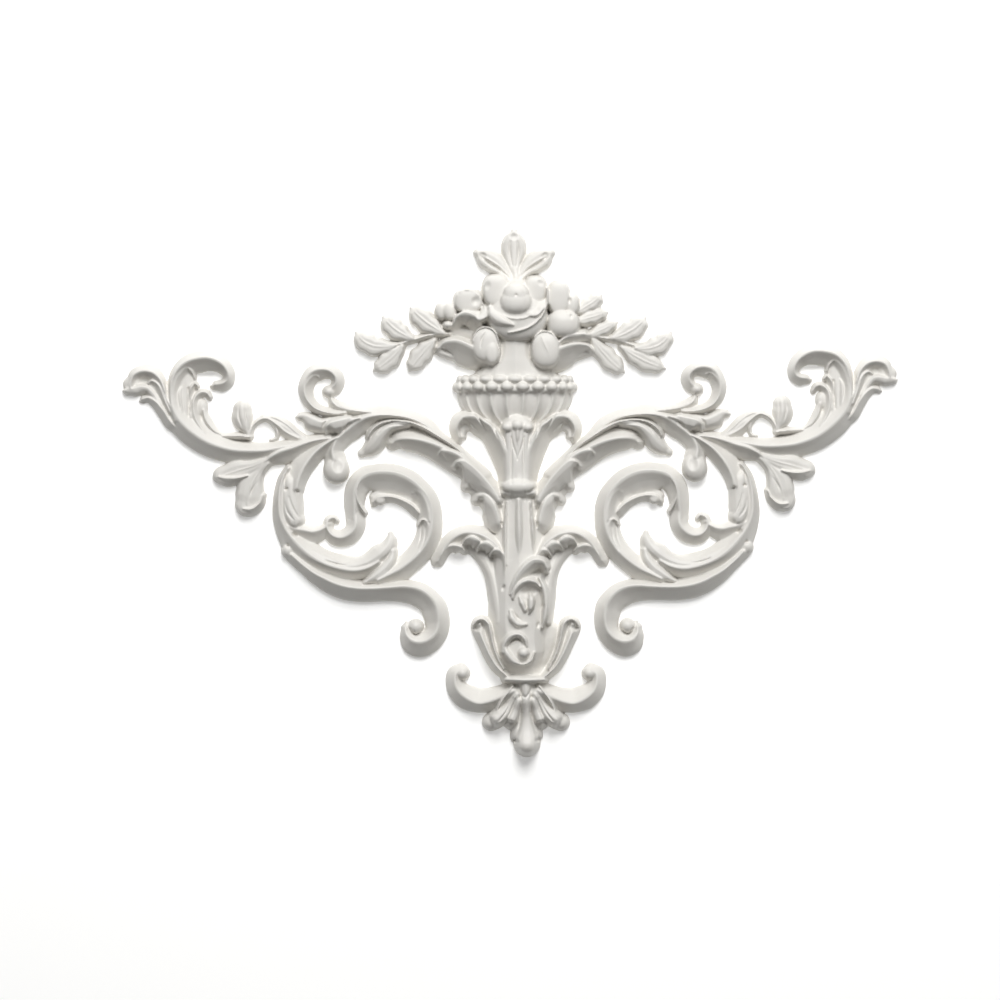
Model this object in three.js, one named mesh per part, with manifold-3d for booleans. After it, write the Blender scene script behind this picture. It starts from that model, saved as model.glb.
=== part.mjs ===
import * as THREE from "three";
import { mergeVertices } from "three/addons/utils/BufferGeometryUtils.js";
import Module from "manifold-3d";

// A wall applique ornament: an urn of flowers on a leafy stem between two scrolled acanthus wings,
// cast in one piece with a flat back. Millimetres, +Z up, the wall plane at Y = 0 and the relief
// rising from it towards -Y. The origin is on the back of the stem, just under the urn's collar.

// Overall sizes
const ORNAMENT_WIDTH = 772;
const ORNAMENT_HEIGHT = 529;
const BOWL_RELIEF = 32;

// Sizes of the urn
const RIM_RADIUS = 61.5;
const MOUTH_RADIUS = 38;
const RIM_THICKNESS = 17;
const RIM_STEP = 4;
const BOWL_HEIGHT = 58;
const FLUTES_ROUND = 22;
const FLUTE_DEPTH = 4;
const BEAD_COUNT = 12;
const BEAD_RADIUS = 8;
const BEAD_ROW_Y = 386;
const URN_TOP_Y = 373;

// How solids are faceted and joined
const LONGEST_STEP = 70;
const WIDEST_TURN = THREE.MathUtils.degToRad(48);
const WIDEST_FLARE = 34;
const FEWEST_STEPS = 2;
const FINE_STEPS = 240;
const ROUND_SINK = 0.7;
const BEND_WINDOW = 5;
const INSIDE_SHARE = 0.92;
const TIP_REACH = 0.75;
const TIP_WIDTH = 0.45;
const TIP_HEIGHT = 0.8;
const DOME_SIDES = 8;

// The carver's full-size drawing: x runs to the right and y down, in millimetres at full size.
// Its lower half leans a little to the right, and so does the ornament's middle line.
const DRAWN_WIDTH = 772;
const DRAWN_HEIGHT = 529;
const DRAWN_RELIEF = 32;
const ORIGIN_X = 518;
const ORIGIN_Y = 485;
const AXIS_X = 515;
const LEAN_START_Y = 380;
const LEAN_PER_MM = 0.0332;
const RIGHT_WING_SPAN = 0.973;
const RIGHT_TIP_RISE = 7;
const RISE_REACH = 315;
const FINIAL_AXIS_X = 526;

// Cross sections of the carved bands: pairs of place across, from -1 at the left edge over 0 at the
// crest to 1 at the right edge, and height as a share of the crest's height over the wall
const ROOF = [[-1, 0], [0, 1], [1, 0]];
const ROUND = [[-1, 0], [-0.6, 0.9], [0.6, 0.9], [1, 0]];
const BLADE = [[-1, 0], [-0.6, 0.94], [0.6, 0.94], [1, 0]];

const widthScale = ORNAMENT_WIDTH / DRAWN_WIDTH;
const heightScale = ORNAMENT_HEIGHT / DRAWN_HEIGHT;
const reliefScale = BOWL_RELIEF / DRAWN_RELIEF;

const wasm = await Module();
wasm.setup();

// A closed three.js geometry as a solid that can be joined and cut
function solidOf(geometry) {
  const bare = geometry.clone();
  bare.deleteAttribute("normal");
  bare.deleteAttribute("uv");
  const merged = mergeVertices(bare, 1e-4);
  return new wasm.Manifold(new wasm.Mesh({
    numProp: 3,
    vertProperties: new Float32Array(merged.attributes.position.array),
    triVerts: new Uint32Array(merged.index.array),
  }));
}

// Where a point of the drawing lies on the ornament: placers for the middle and for the two wings
function drawn(x, y, height) {
  return new THREE.Vector3((x - ORIGIN_X) * widthScale, -height * reliefScale,
    (ORIGIN_Y - y) * heightScale);
}

function axisAt(y) {
  return AXIS_X + LEAN_PER_MM * Math.max(0, y - LEAN_START_Y);
}

const inTheMiddle = { mirrored: false, at: drawn };
const onTheLeft = { mirrored: false, at: drawn };
const onTheRight = {
  mirrored: true,
  at(x, y, height) {
    const reach = axisAt(y) - x;
    const rise = RIGHT_TIP_RISE * (reach / RISE_REACH) ** 2;
    return drawn(axisAt(y) + RIGHT_WING_SPAN * reach, y - rise, height);
  },
};
const onTheFinialsRight = {
  mirrored: true,
  at: (x, y, height) => drawn(2 * FINIAL_AXIS_X - x, y, height),
};

// A closed solid through rings of points: quads between neighbouring rings, and a fan on each end
function loft(rings, mirrored) {
  const around = rings[0].length;
  const points = rings.flat();
  const faces = [];
  const triangle = (a, b, c) => faces.push(...(mirrored ? [a, c, b] : [a, b, c]));
  for (let r = 0; r + 1 < rings.length; r += 1) {
    for (let k = 0; k < around; k += 1) {
      const a = r * around + k;
      const b = r * around + ((k + 1) % around);
      triangle(a, b, b + around);
      triangle(a, b + around, a + around);
    }
  }
  for (let k = 1; k + 1 < around; k += 1) {
    const last = (rings.length - 1) * around;
    triangle(0, k + 1, k);
    triangle(last, last + k, last + k + 1);
  }
  const geometry = new THREE.BufferGeometry();
  geometry.setFromPoints(points);
  geometry.setIndex(faces);
  return geometry;
}

// Places along a curve for the rings of a band: close together where it turns or its width changes,
// apart where it runs on
function ringPlaces(curve, sizes) {
  const piece = curve.getLength() / FINE_STEPS;
  const spent = [0];
  let before = curve.getTangentAt(0);
  let wide = sizes.getPoint(0);
  for (let k = 1; k <= FINE_STEPS; k += 1) {
    const now = curve.getTangentAt(k / FINE_STEPS);
    const turn = Math.acos(THREE.MathUtils.clamp(before.dot(now), -1, 1));
    const size = sizes.getPoint(curve.getUtoTmapping(k / FINE_STEPS));
    const flare = Math.abs(size.x - wide.x) + Math.abs(size.y - wide.y);
    spent.push(spent[k - 1] + piece / LONGEST_STEP + turn / WIDEST_TURN + flare / WIDEST_FLARE);
    before = now;
    wide = size;
  }
  const steps = Math.max(FEWEST_STEPS, Math.round(spent[FINE_STEPS]));
  const places = [];
  for (let k = 0, fine = 0; k <= steps; k += 1) {
    const share = spent[FINE_STEPS] * k / steps;
    while (fine < FINE_STEPS && spent[fine] < share) fine += 1;
    places.push(fine / FINE_STEPS);
  }
  return places;
}

// One carved band. Each station is [x, y, width to the left, width to the right, crest height], as
// seen by someone who walks along the crest on the drawing. Splines run through the stations, and
// both ends close in a rounded tip.
function band(place, section, stations) {
  const crest = new THREE.CatmullRomCurve3(
    stations.map(([x, y]) => new THREE.Vector3(x, y, 0)), false, "centripetal");
  const sizes = new THREE.CatmullRomCurve3(
    stations.map(([, , left, right, height]) => new THREE.Vector3(left, right, height)),
    false, "catmullrom", 0);
  const places = ringPlaces(crest, sizes);
  const length = crest.getLength();
  const rings = [];
  const ringAt = (point, along, left, right, height) => {
    const acrossX = along.y;
    const acrossY = -along.x;
    rings.push(section.map(([side, share]) => {
      const out = side < 0 ? -side * left : -side * right;
      return place.at(point.x + acrossX * out, point.y + acrossY * out, height * share - ROUND_SINK);
    }));
  };
  const tip = (point, along, size, way) => {
    const reach = TIP_REACH * Math.min(size.x, size.y) * way;
    const ahead = point.clone().addScaledVector(along, reach);
    ringAt(ahead, along, size.x * TIP_WIDTH, size.y * TIP_WIDTH, size.z * TIP_HEIGHT);
  };
  places.forEach((t, k) => {
    const u = crest.getUtoTmapping(t);
    const point = crest.getPoint(u);
    const along = crest.getTangent(u);
    const size = sizes.getPoint(u);
    const after = Math.min(1, t + BEND_WINDOW / length);
    const before = Math.max(0, t - BEND_WINDOW / length);
    const ahead = crest.getTangentAt(after);
    const back = crest.getTangentAt(before);
    const turn = Math.atan2(back.x * ahead.y - back.y * ahead.x, back.dot(ahead));
    const room = INSIDE_SHARE * length * (after - before) / Math.max(1e-6, Math.abs(turn));
    const left = turn < 0 ? Math.min(size.x, room) : size.x;
    const right = turn > 0 ? Math.min(size.y, room) : size.y;
    if (k === 0) tip(point, along, size, -1);
    ringAt(point, along, left, right, size.z);
    if (k === places.length - 1) tip(point, along, size, 1);
  });
  return solidOf(loft(rings, place.mirrored));
}

// A leaf blade on a bent spine from its foot over its belly to its tip
function leaf(place, foot, belly, tip, width, height) {
  const point = (a, b) => [(a[0] + b[0]) / 2, (a[1] + b[1]) / 2];
  const inner = point(foot, belly);
  const outer = point(belly, tip);
  return band(place, BLADE, [
    [...foot, width * 0.3, width * 0.3, height * 1.1],
    [...inner, width * 0.8, width * 0.8, height * 1.05],
    [...belly, width, width, height],
    [...outer, width * 0.8, width * 0.8, height * 0.9],
    [...tip, width * 0.3, width * 0.3, height * 0.75],
  ]);
}

// Faces of a geometry turned the other way round, for a form that was placed mirrored
function turned(geometry) {
  const index = geometry.index.array;
  for (let k = 0; k < index.length; k += 3) {
    [index[k + 1], index[k + 2]] = [index[k + 2], index[k + 1]];
  }
  return geometry;
}

// A rounded knob, petal or bud: half an ellipsoid that stands on the wall
function dome(place, x, y, radiusX, radiusY, height) {
  const ball = new THREE.SphereGeometry(1, DOME_SIDES, DOME_SIDES / 2);
  const position = ball.attributes.position;
  for (let k = 0; k < position.count; k += 1) {
    const moved = place.at(x + position.getX(k) * radiusX, y - position.getZ(k) * radiusY,
      -position.getY(k) * (height + ROUND_SINK) - ROUND_SINK);
    position.setXYZ(k, moved.x, moved.y, moved.z);
  }
  return solidOf(place.mirrored ? turned(ball) : ball);
}

// The outer arm that ends in the far frond and the top volute
function outerArm(wing) {
  return [
    band(wing, ROOF, [[306, 441, 6, 3, 14], [285, 446, 10, 5, 16], [265, 450, 12, 7, 17],
      [248, 450.5, 13, 8, 17], [230, 449, 13, 9, 17], [210, 443, 13, 13, 17], [193, 433, 13, 16, 17],
      [180, 421, 12, 16, 17], [173, 409, 9, 14, 17], [170, 396, 3.5, 14, 16], [170.5, 384, 3, 12, 17],
      [175, 372, 4, 11, 18], [184, 362.5, 5, 13, 19], [196, 358, 5.5, 14, 20],
      [208, 357, 4.5, 15, 20], [218, 360.5, 5, 14, 19], [225, 367, 5.5, 9, 17],
      [228, 375, 5.5, 7, 15], [226, 380.5, 7, 5, 13], [221, 383, 8, 3, 12], [215, 384, 6, 3, 10]]),
    band(wing, ROOF, [[176, 420, 8, 8, 16], [170, 404, 8, 3, 16], [165, 390, 8, 3, 15],
      [160, 379, 8, 4, 14], [152, 372, 9, 6, 14], [142, 370.5, 9, 5, 13], [134, 374, 7, 5, 12],
      [130.5, 381, 5, 4, 11], [130, 388, 5, 4.5, 10], [134, 392, 4.5, 4, 9], [141, 391, 3.5, 3, 8],
      [149, 389.5, 3, 3, 7]]),
    band(wing, ROOF, [[205, 433, 6, 4, 13], [196, 420, 6, 5, 12], [192.5, 406, 4, 6, 12],
      [194.5, 397, 3, 5, 11], [200, 392, 3, 5, 10], [206, 392.5, 3, 5, 9],
      [209.5, 397, 2.5, 3.5, 7.5]]),
  ];
}

// The small leaves, the bud and the tendril that lie along the outer arm
function armLeaves(wing) {
  return [
    band(wing, ROUND, [[248, 434, 3, 3, 10], [245.5, 426, 9, 6.5, 12], [242.5, 417, 11, 9.5, 13],
      [242, 409.5, 9, 8.5, 12]]),
    band(wing, ROOF, [[249, 438, 2.5, 2.5, 9], [252, 427, 2.5, 2.5, 10], [258, 420.5, 2.5, 3, 11],
      [266, 418, 2.5, 3.5, 11], [276, 424, 4, 4, 11], [286, 432, 4, 5, 11], [298, 438, 3, 4, 12]]),
    band(wing, ROOF, [[330, 438, 6, 4, 15], [315, 440, 8, 5, 16], [303, 443.5, 10, 6, 17],
      [292, 447.5, 12, 6, 18], [280, 451, 13, 5, 18], [271, 456, 10, 4, 17], [265, 461, 7, 3, 15]]),
    band(wing, BLADE, [[266, 461, 4, 4, 14], [250, 467, 7, 6, 13], [237, 471, 8, 10, 12],
      [222, 476, 7.5, 8.5, 10.5]]),
    band(wing, BLADE, [[267, 463, 3, 3, 15], [258, 473, 5, 5, 13], [252, 484, 10, 12, 13],
      [249.5, 495, 12, 13, 13], [247, 504.5, 10.5, 11, 11.5]]),
  ];
}

// The curl above the crossing, with its tail leaf and the three lobes under it
function upperCurl(wing) {
  return [
    band(wing, ROOF, [[345, 413, 3, 5, 15], [333, 413.5, 3, 5, 15], [322, 411.5, 3, 5, 15],
      [313, 407, 4, 6, 15], [306.5, 399, 5, 7, 15], [303.5, 389, 5, 9, 15], [305.5, 379, 4.5, 10, 15],
      [311.5, 371.5, 5, 11, 16], [320, 368.5, 4.5, 12, 16], [329, 370, 5, 10, 16],
      [335, 376, 7, 6, 15], [335.5, 382, 8, 4, 14], [332, 387, 9, 3, 12], [328, 390, 7, 2.5, 10]]),
    band(wing, ROOF, [[330.5, 397, 2, 2.5, 9], [333.5, 403, 5, 5, 12], [342, 407.5, 5, 5, 14],
      [354, 410.5, 4, 5, 16], [372, 412, 3, 5, 17]]),
    band(wing, ROUND, [[300, 415.5, 3, 5, 10], [306, 416, 3.5, 9, 13], [313, 419, 4, 12, 15],
      [321, 422, 4, 11, 16], [332, 421, 5, 12, 16], [346, 419, 5, 12, 17]]),
    band(wing, BLADE, [[326, 433, 3, 2, 11], [326.5, 426.5, 8, 2, 17], [331, 422.5, 12, 2, 19.5],
      [339, 420.5, 12, 2.5, 20], [350, 418, 10, 3, 20]]),
  ];
}

// The main arm: its ridges, the pendant club, the hanging leaf and the lobes next to the stem
function mainArm(wing) {
  return [
    band(wing, ROOF, [[440, 436, 6, 4, 20], [425, 425, 6, 7, 20], [410, 418.5, 5, 7, 20],
      [395, 416, 4, 8, 20], [380, 415.5, 5, 9, 20], [368, 417, 9, 9, 19], [358, 421, 13, 8, 18],
      [350, 427, 13, 5, 17], [342, 433.5, 12, 3, 16], [335, 441, 12, 3, 15], [332, 451, 10, 6, 15],
      [334.5, 461, 11, 10, 15.5], [336, 468, 10, 10, 15.5]]),
    dome(wing, 336, 470, 13, 14, 16.5),
    band(wing, ROUND, [[502, 505, 10, 3, 20], [488, 478, 14, 4, 20], [474, 462, 18, 5, 19.5],
      [458, 450, 18, 6, 19], [443, 443, 15, 8, 19], [430, 438.5, 15, 11, 20],
      [418, 435, 15, 13, 20.5], [408, 434, 15, 13, 20], [399, 437, 13, 11, 17.5],
      [392.5, 442, 8, 7, 12]]),
    band(wing, ROUND, [[408, 423, 5, 4, 21], [390, 427, 6, 6, 20], [381, 434, 8, 8, 19],
      [374, 443, 10, 8, 17], [367.5, 449, 9, 7, 14.5], [362, 452.5, 6.5, 5.5, 12]]),
    band(wing, BLADE, [[452, 461, 2, 3, 17], [455, 456, 2, 10, 22], [462, 454, 2.5, 16, 25],
      [471, 458.5, 2.5, 17, 26.5], [481, 468.5, 3, 15, 27.5], [489, 479, 3, 12, 28],
      [498, 493, 4, 10, 28]]),
    band(wing, BLADE, [[464.5, 488, 2, 3, 12], [466, 482.5, 2, 7, 18], [472, 478, 2.5, 11, 22.5],
      [480, 479.5, 3, 12, 25], [488, 486.5, 3, 10, 27], [499, 500, 4, 8, 28]]),
  ];
}

// The leaf that curls out from the stem like a handle under the bowl
function handleLeaf(wing) {
  return [
    band(wing, ROOF, [[512, 476, 12, 4, 28], [508, 458, 14, 4, 28], [500, 438, 15, 4, 28],
      [493, 427, 14, 4, 27], [484, 420.5, 15, 3, 26], [474, 415.5, 18, 3, 25], [466, 416, 16, 5, 23],
      [460, 421, 7, 8, 20], [457, 429, 5, 7, 17], [459.5, 437, 3, 6, 14]]),
  ];
}

// The big outer scroll: its upper limb, the calyx leaf, the spine and the sweep at the bottom
function bigScroll(wing) {
  return [
    band(wing, ROOF, [[338, 437, 5, 3, 17], [327, 442.5, 8, 4, 17], [316, 451, 9, 7, 17],
      [308.5, 460, 9, 11, 17.5], [303, 469, 8, 13, 18], [299, 479, 7, 14, 18],
      [297, 489, 6, 14, 18]]),
    band(wing, ROUND, [[290, 484, 11, 12, 15], [291, 500, 11, 13, 16], [292, 512, 11, 12, 17],
      [295, 520, 9, 11, 17]]),
    band(wing, ROOF, [[288, 468, 4, 3, 14], [282, 479, 6, 4, 15], [279, 492, 10, 4.5, 15],
      [278.5, 505, 12, 5.5, 15], [280, 517, 12, 7, 15], [285, 528, 9, 10, 15],
      [293, 538.5, 9, 14, 16], [302, 548, 10, 16, 17], [313, 557, 12, 14, 18],
      [326, 564, 12, 11, 18.5], [340, 568.5, 13, 10, 18.5], [354, 570.5, 13, 9, 18.5],
      [367, 568, 12, 8, 18], [378, 562, 10, 7, 17]]),
    band(wing, ROOF, [[284, 524, 4, 8, 13], [293, 528, 5, 10, 13], [303, 529.5, 5, 12, 14],
      [313, 531, 4, 12.5, 14], [322, 528.5, 3.5, 9, 13], [328, 524, 3, 5, 12]]),
    band(wing, ROOF, [[354, 507, 7, 7, 12], [356, 522, 8.5, 11, 14.5], [354, 529, 9, 10, 15],
      [349, 534, 10, 9, 15], [342, 537.3, 9, 8, 14.5], [335, 536.5, 8.5, 7, 14],
      [329.5, 532.5, 6, 5, 13.5], [326.5, 526, 3.5, 5, 13], [328, 520, 3.5, 4, 12],
      [333, 517.5, 2.5, 4, 11], [337, 521, 2, 3, 9]]),
  ];
}

// The inner spiral that winds round inside the big scroll
function innerSpiral(wing) {
  return [
    band(wing, ROOF, [[354, 519, 8, 8, 13], [354.5, 504, 10, 9, 15], [354.5, 490, 9, 13, 16],
      [358, 481, 8, 15, 17], [365, 475, 8, 18, 18], [375, 471.5, 6, 20, 19],
      [388, 471, 6.5, 22, 19.5], [400, 473.5, 6.5, 22, 19.5], [411, 479, 7, 20, 19.5],
      [420, 486.5, 7, 18, 19], [427.5, 496, 7.5, 15, 19], [431.5, 507, 8, 14, 18.5],
      [432.5, 518, 8.5, 14, 18], [431, 530, 10, 13, 18], [427, 541, 11, 12, 17.5],
      [420.5, 551, 11, 11, 17.5], [411, 560.5, 11, 10, 18], [400, 568.5, 12, 9, 18],
      [388, 575, 9, 9, 18], [378, 580, 8, 7, 18]]),
    band(wing, ROOF, [[373, 502, 3, 5, 9], [377, 497.5, 2.5, 9, 11], [384, 496, 2.5, 7, 12],
      [394, 497, 2.5, 5.5, 12], [404, 500.5, 2.5, 6, 12], [412, 505, 2.5, 7, 13],
      [418, 511, 2, 7, 13]]),
    band(wing, ROOF, [[412, 493, 2, 4, 13], [416, 490, 2.5, 9, 16], [421.5, 492.5, 2.5, 12, 18],
      [426, 499.5, 2.5, 13, 18.5], [429, 509, 2.5, 13, 18.5], [430, 520, 3, 12, 18]]),
  ];
}

// The sweep under the big scroll that ends in the lower volute
function lowerVolute(wing) {
  return [
    band(wing, ROOF, [[292, 555, 5, 7, 14], [303, 565, 7, 7, 15], [315, 573.5, 7, 9, 17],
      [325, 578.5, 7, 11, 18], [335, 583, 7, 12, 19], [348, 586.5, 7, 13, 20], [363, 588, 6, 13, 20],
      [378, 587.5, 5, 13, 20], [392, 586.5, 5, 14, 20], [402, 585.5, 4, 16, 20],
      [413, 586.5, 4.5, 17, 19.5], [423, 590, 5, 18, 19], [431.5, 597, 6, 17, 19],
      [437, 606, 8, 16, 18.5], [439, 616, 9, 15, 18], [438.5, 625, 10, 13, 17],
      [435.5, 633, 11, 11, 17], [429, 639, 13, 9, 16.5], [420, 641.8, 15, 8, 16],
      [412, 640, 13, 8, 15], [406.5, 634.5, 7, 7, 13], [405, 628, 3.5, 6, 11]]),
    dome(wing, 415.5, 627, 6.5, 6.5, 14),
    dome(wing, 287.5, 550.5, 6, 7, 11.5),
  ];
}

// The leaf that springs from the stem and leans on the scroll
function stemLeaf(wing) {
  return [
    band(wing, ROOF, [[506, 566, 8, 8, 26], [498, 547, 17, 8, 26], [486, 537, 22, 8, 25],
      [474, 532.5, 23, 6, 23], [463, 533, 22, 6, 20], [453, 538.5, 14, 7, 17], [446, 546, 9, 7, 14],
      [441, 555, 6, 6.5, 13], [438, 561, 6, 7, 10]]),
  ];
}

// The curled petal on each side of the cup at the foot of the stem
function cupPetal(side) {
  return [
    band(side, ROOF, [[508, 677, 4, 5, 25], [497, 667, 5, 7, 25], [490, 656, 5, 8, 25],
      [485, 645, 5, 8, 24], [481, 635, 6, 9, 22], [479, 627, 7, 9, 19], [480, 623, 5, 7, 16]]),
  ];
}

// One half of the finial: a scroll, and the two-lobed leaf under it
function finialSide(side) {
  return [
    band(side, ROOF, [[514, 690, 14, 8, 24], [500, 697, 13, 10, 21], [488, 702, 9.5, 13, 19],
      [478, 703.5, 8.5, 14, 18], [467, 698.5, 11, 13, 17], [458.5, 691, 10, 10, 16],
      [455, 682, 8.5, 8, 15], [456, 674, 8, 7, 14], [461, 670, 6, 6, 13]]),
    dome(side, 462.5, 673.5, 6.5, 6.5, 15),
    band(side, ROUND, [[517, 694, 6, 6, 25], [510, 706, 8, 7, 23], [501, 716, 9, 9, 21],
      [493, 722, 8, 8, 18]]),
    band(side, ROUND, [[519, 700, 5, 5, 25], [515, 711, 7, 6, 23], [511, 721.5, 7, 7, 20]]),
  ];
}

// The stem from the urn down to the ring over the finial, its collar and the finial's middle leaf
function stem() {
  return [
    band(inTheMiddle, ROUND, [[517, 426, 15, 15, 28], [517, 450, 18, 17, 27],
      [517.5, 480, 16, 16, 26], [518, 500, 19, 19, 27], [518, 530, 26, 24, 27],
      [519, 560, 29, 27, 28], [520, 590, 30, 29, 28], [520, 620, 30, 30, 28], [521, 640, 27, 27, 28],
      [522, 655, 25, 25, 28], [524, 667, 19, 19, 26], [525, 676, 17, 17, 24],
      [525.5, 690, 14, 14, 24]]),
    band(inTheMiddle, ROUND, [[521, 622, 29, 29, 19], [522, 632, 38, 38, 18], [523, 645, 35, 35, 19],
      [524, 658, 28, 28, 20], [524, 668, 22, 22, 21]]),
    dome(inTheMiddle, 517.5, 426.5, 14.5, 6.5, 34),
    dome(inTheMiddle, 518, 488.5, 16.5, 9.5, 36),
    band(inTheMiddle, BLADE, [[510.5, 594, 2.5, 4, 30], [513.5, 583, 3, 9, 33.5],
      [519, 572.5, 3, 12, 36], [526, 564, 3, 13, 37], [534.5, 559, 3, 13, 37],
      [542.5, 560.5, 3, 12, 36], [546.5, 567, 2, 6, 33]]),
    band(inTheMiddle, BLADE, [[502.5, 652, 2, 4, 30.5], [505, 642, 3, 7, 33], [511, 635, 3, 8, 35.5],
      [518.5, 633.5, 3, 8, 35.5], [524.5, 638, 2.5, 7, 34.5], [526.5, 646, 2, 3, 32]]),
    dome(inTheMiddle, 523.5, 652.5, 5.5, 5.5, 35),
    band(inTheMiddle, ROUND, [[508.5, 678.5, 4, 5, 27], [517, 678.5, 4.5, 5, 30],
      [525, 678.5, 4.5, 5, 31], [534, 678.5, 4.5, 5, 30], [542, 678.5, 4, 5, 27]]),
    band(inTheMiddle, ROUND, [[525.5, 685, 8, 8, 27], [526, 700, 7, 7, 27], [526, 712, 7, 7, 24],
      [526.5, 724, 11, 11, 21], [527, 735, 15, 15, 19], [527, 742, 12, 12, 14]]),
    dome(inTheMiddle, 527, 741, 13.5, 16.5, 19),
  ];
}

// The urn: a flattened turned bowl whose side is folded into flutes under the rim
function urn() {
  const depth = BOWL_RELIEF / RIM_RADIUS;
  const top = ORIGIN_Y - URN_TOP_Y;
  const foldTop = -RIM_THICKNESS - RIM_STEP;
  const profile = [[0, 0], [MOUTH_RADIUS, 0], [MOUTH_RADIUS, -4], [RIM_RADIUS, -7],
    [RIM_RADIUS, -RIM_THICKNESS], [RIM_RADIUS - RIM_STEP, foldTop], [RIM_RADIUS - 5.5, -30],
    [RIM_RADIUS - 14, -41], [RIM_RADIUS - 40, -BOWL_HEIGHT + 4], [0, -BOWL_HEIGHT]];
  const outline = profile.map(([radius, z]) => new THREE.Vector2(radius, z)).reverse();
  const turning = new THREE.LatheGeometry(outline, 2 * FLUTES_ROUND);
  const position = turning.attributes.position;
  for (let k = 0; k < position.count; k += 1) {
    const column = Math.floor(k / outline.length);
    const folded = column % 2 === 0 && position.getY(k) < foldTop;
    const share = folded ? 1 - FLUTE_DEPTH / RIM_RADIUS : 1;
    position.setX(k, position.getX(k) * share);
    position.setZ(k, position.getZ(k) * share);
  }
  turning.rotateX(Math.PI / 2);
  turning.scale(1, depth * reliefScale, heightScale);
  turning.translate((AXIS_X - ORIGIN_X) * widthScale, ROUND_SINK, top * heightScale);
  return [solidOf(turning)];
}

// The beads of the rim, smaller towards the sides of the bowl
function beads() {
  const made = [];
  for (let k = 0; k < BEAD_COUNT; k += 1) {
    const angle = Math.PI * (k + 0.5) / BEAD_COUNT;
    const x = AXIS_X - (RIM_RADIUS - 2) * Math.cos(angle);
    const height = BOWL_RELIEF * Math.sin(angle) + BEAD_RADIUS * 0.8;
    const width = BEAD_RADIUS * (0.5 + 0.6 * Math.sin(angle));
    made.push(dome(inTheMiddle, x, BEAD_ROW_Y, width, BEAD_RADIUS * 0.85, height));
  }
  return made;
}

// The flowers over the urn: the rose with its bud, the side blooms and the two turned-out bowls
function flowers() {
  const here = inTheMiddle;
  return [
    band(here, ROUND, [[515, 325, 18, 18, 26], [515, 350, 19, 19, 27], [515, 360, 24, 23, 28],
      [515, 367, 33, 32, 28], [515, 374, 38, 37, 28]]),
    band(here, BLADE, [[437, 346, 3, 5, 17], [446, 340.5, 4, 15, 22], [457, 340, 4, 18, 25],
      [468, 344, 4, 19, 27], [479, 350, 4, 17, 28], [488, 354, 4, 12, 28]]),
    band(here, ROOF, [[472, 343, 1.5, 2.5, 31], [474.5, 334.5, 1.5, 2.5, 33.5],
      [480.5, 328.5, 1.5, 2.5, 34.5], [488, 327.5, 1.5, 2.5, 35], [494.5, 332, 1.5, 2.5, 35.5],
      [498.5, 341, 1.5, 2.5, 36], [500, 352, 1.5, 2, 34.5], [498, 362, 1.5, 2, 31]]),
    dome(here, 491, 350, 9, 16, 35),
    band(here, BLADE, [[556, 350, 3, 18, 31], [566, 345, 3, 16, 28.5], [577, 343.5, 3, 13, 25],
      [587, 345, 3, 10, 21], [592, 349, 3, 6, 17]]),
    band(here, ROOF, [[531.5, 358, 1.5, 2.5, 31], [532.5, 346, 1.5, 2.5, 34],
      [537, 335.5, 1.5, 2.5, 36], [543.5, 331.5, 1.5, 2.5, 37], [551, 333.5, 1.5, 2.5, 36.5],
      [557.5, 341, 1.5, 2.5, 34], [561, 348, 1.5, 2, 31]]),
    dome(here, 545.5, 349, 14, 18, 34),
    dome(here, 518, 317, 30, 25, 36),
    dome(here, 495.5, 290.5, 13.5, 16, 30),
    dome(here, 535.5, 289, 11, 13.5, 30),
    band(here, BLADE, [[547, 288, 2.5, 3, 32.5], [547, 300, 4, 3, 36], [543.5, 314, 6, 6, 38.5],
      [536, 324, 7.5, 8, 40.5], [525, 330.5, 6.5, 6, 42], [514, 332, 3, 2.5, 41]]),
    dome(here, 516, 303, 15, 14.5, 44),
    dome(here, 466.5, 301, 13, 12.5, 27),
    dome(here, 481, 311, 11, 14, 29),
    band(here, BLADE, [[453.5, 323, 2, 8, 24], [457, 316, 2, 15, 29], [465, 312.5, 2, 20, 32],
      [473, 315, 2, 18, 32.5], [478, 321, 2, 12, 31.5]]),
    dome(here, 558.5, 298, 11, 15.5, 29),
    dome(here, 563.5, 323.5, 15.5, 13, 35),
    band(here, ROOF, [[517, 292, 8, 8, 24], [516, 272, 5, 5, 14], [515, 258, 4, 4, 11]]),
    band(here, BLADE, [[517, 288, 7, 7, 18], [516, 272, 4.5, 4.5, 14], [514, 262, 7.5, 7, 12],
      [514, 250, 9, 9, 11], [514, 242, 7.8, 7.4, 10.5], [514, 236, 4.8, 4.4, 9.5],
      [514, 231.5, 1, 1, 7]]),
    band(here, BLADE, [[507, 279, 5, 5, 13], [499, 268.5, 6, 7, 12], [492, 263.5, 8, 9.5, 11],
      [485.5, 259, 6.5, 8, 10.5], [480, 252, 1.5, 1.5, 8]]),
    band(here, BLADE, [[523, 280, 5, 5, 13], [531, 269.5, 7, 6, 12], [538, 264, 9.5, 8, 11],
      [544.5, 259, 8, 6.5, 10.5], [549.5, 252, 1.5, 1.5, 8]]),
  ];
}

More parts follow.
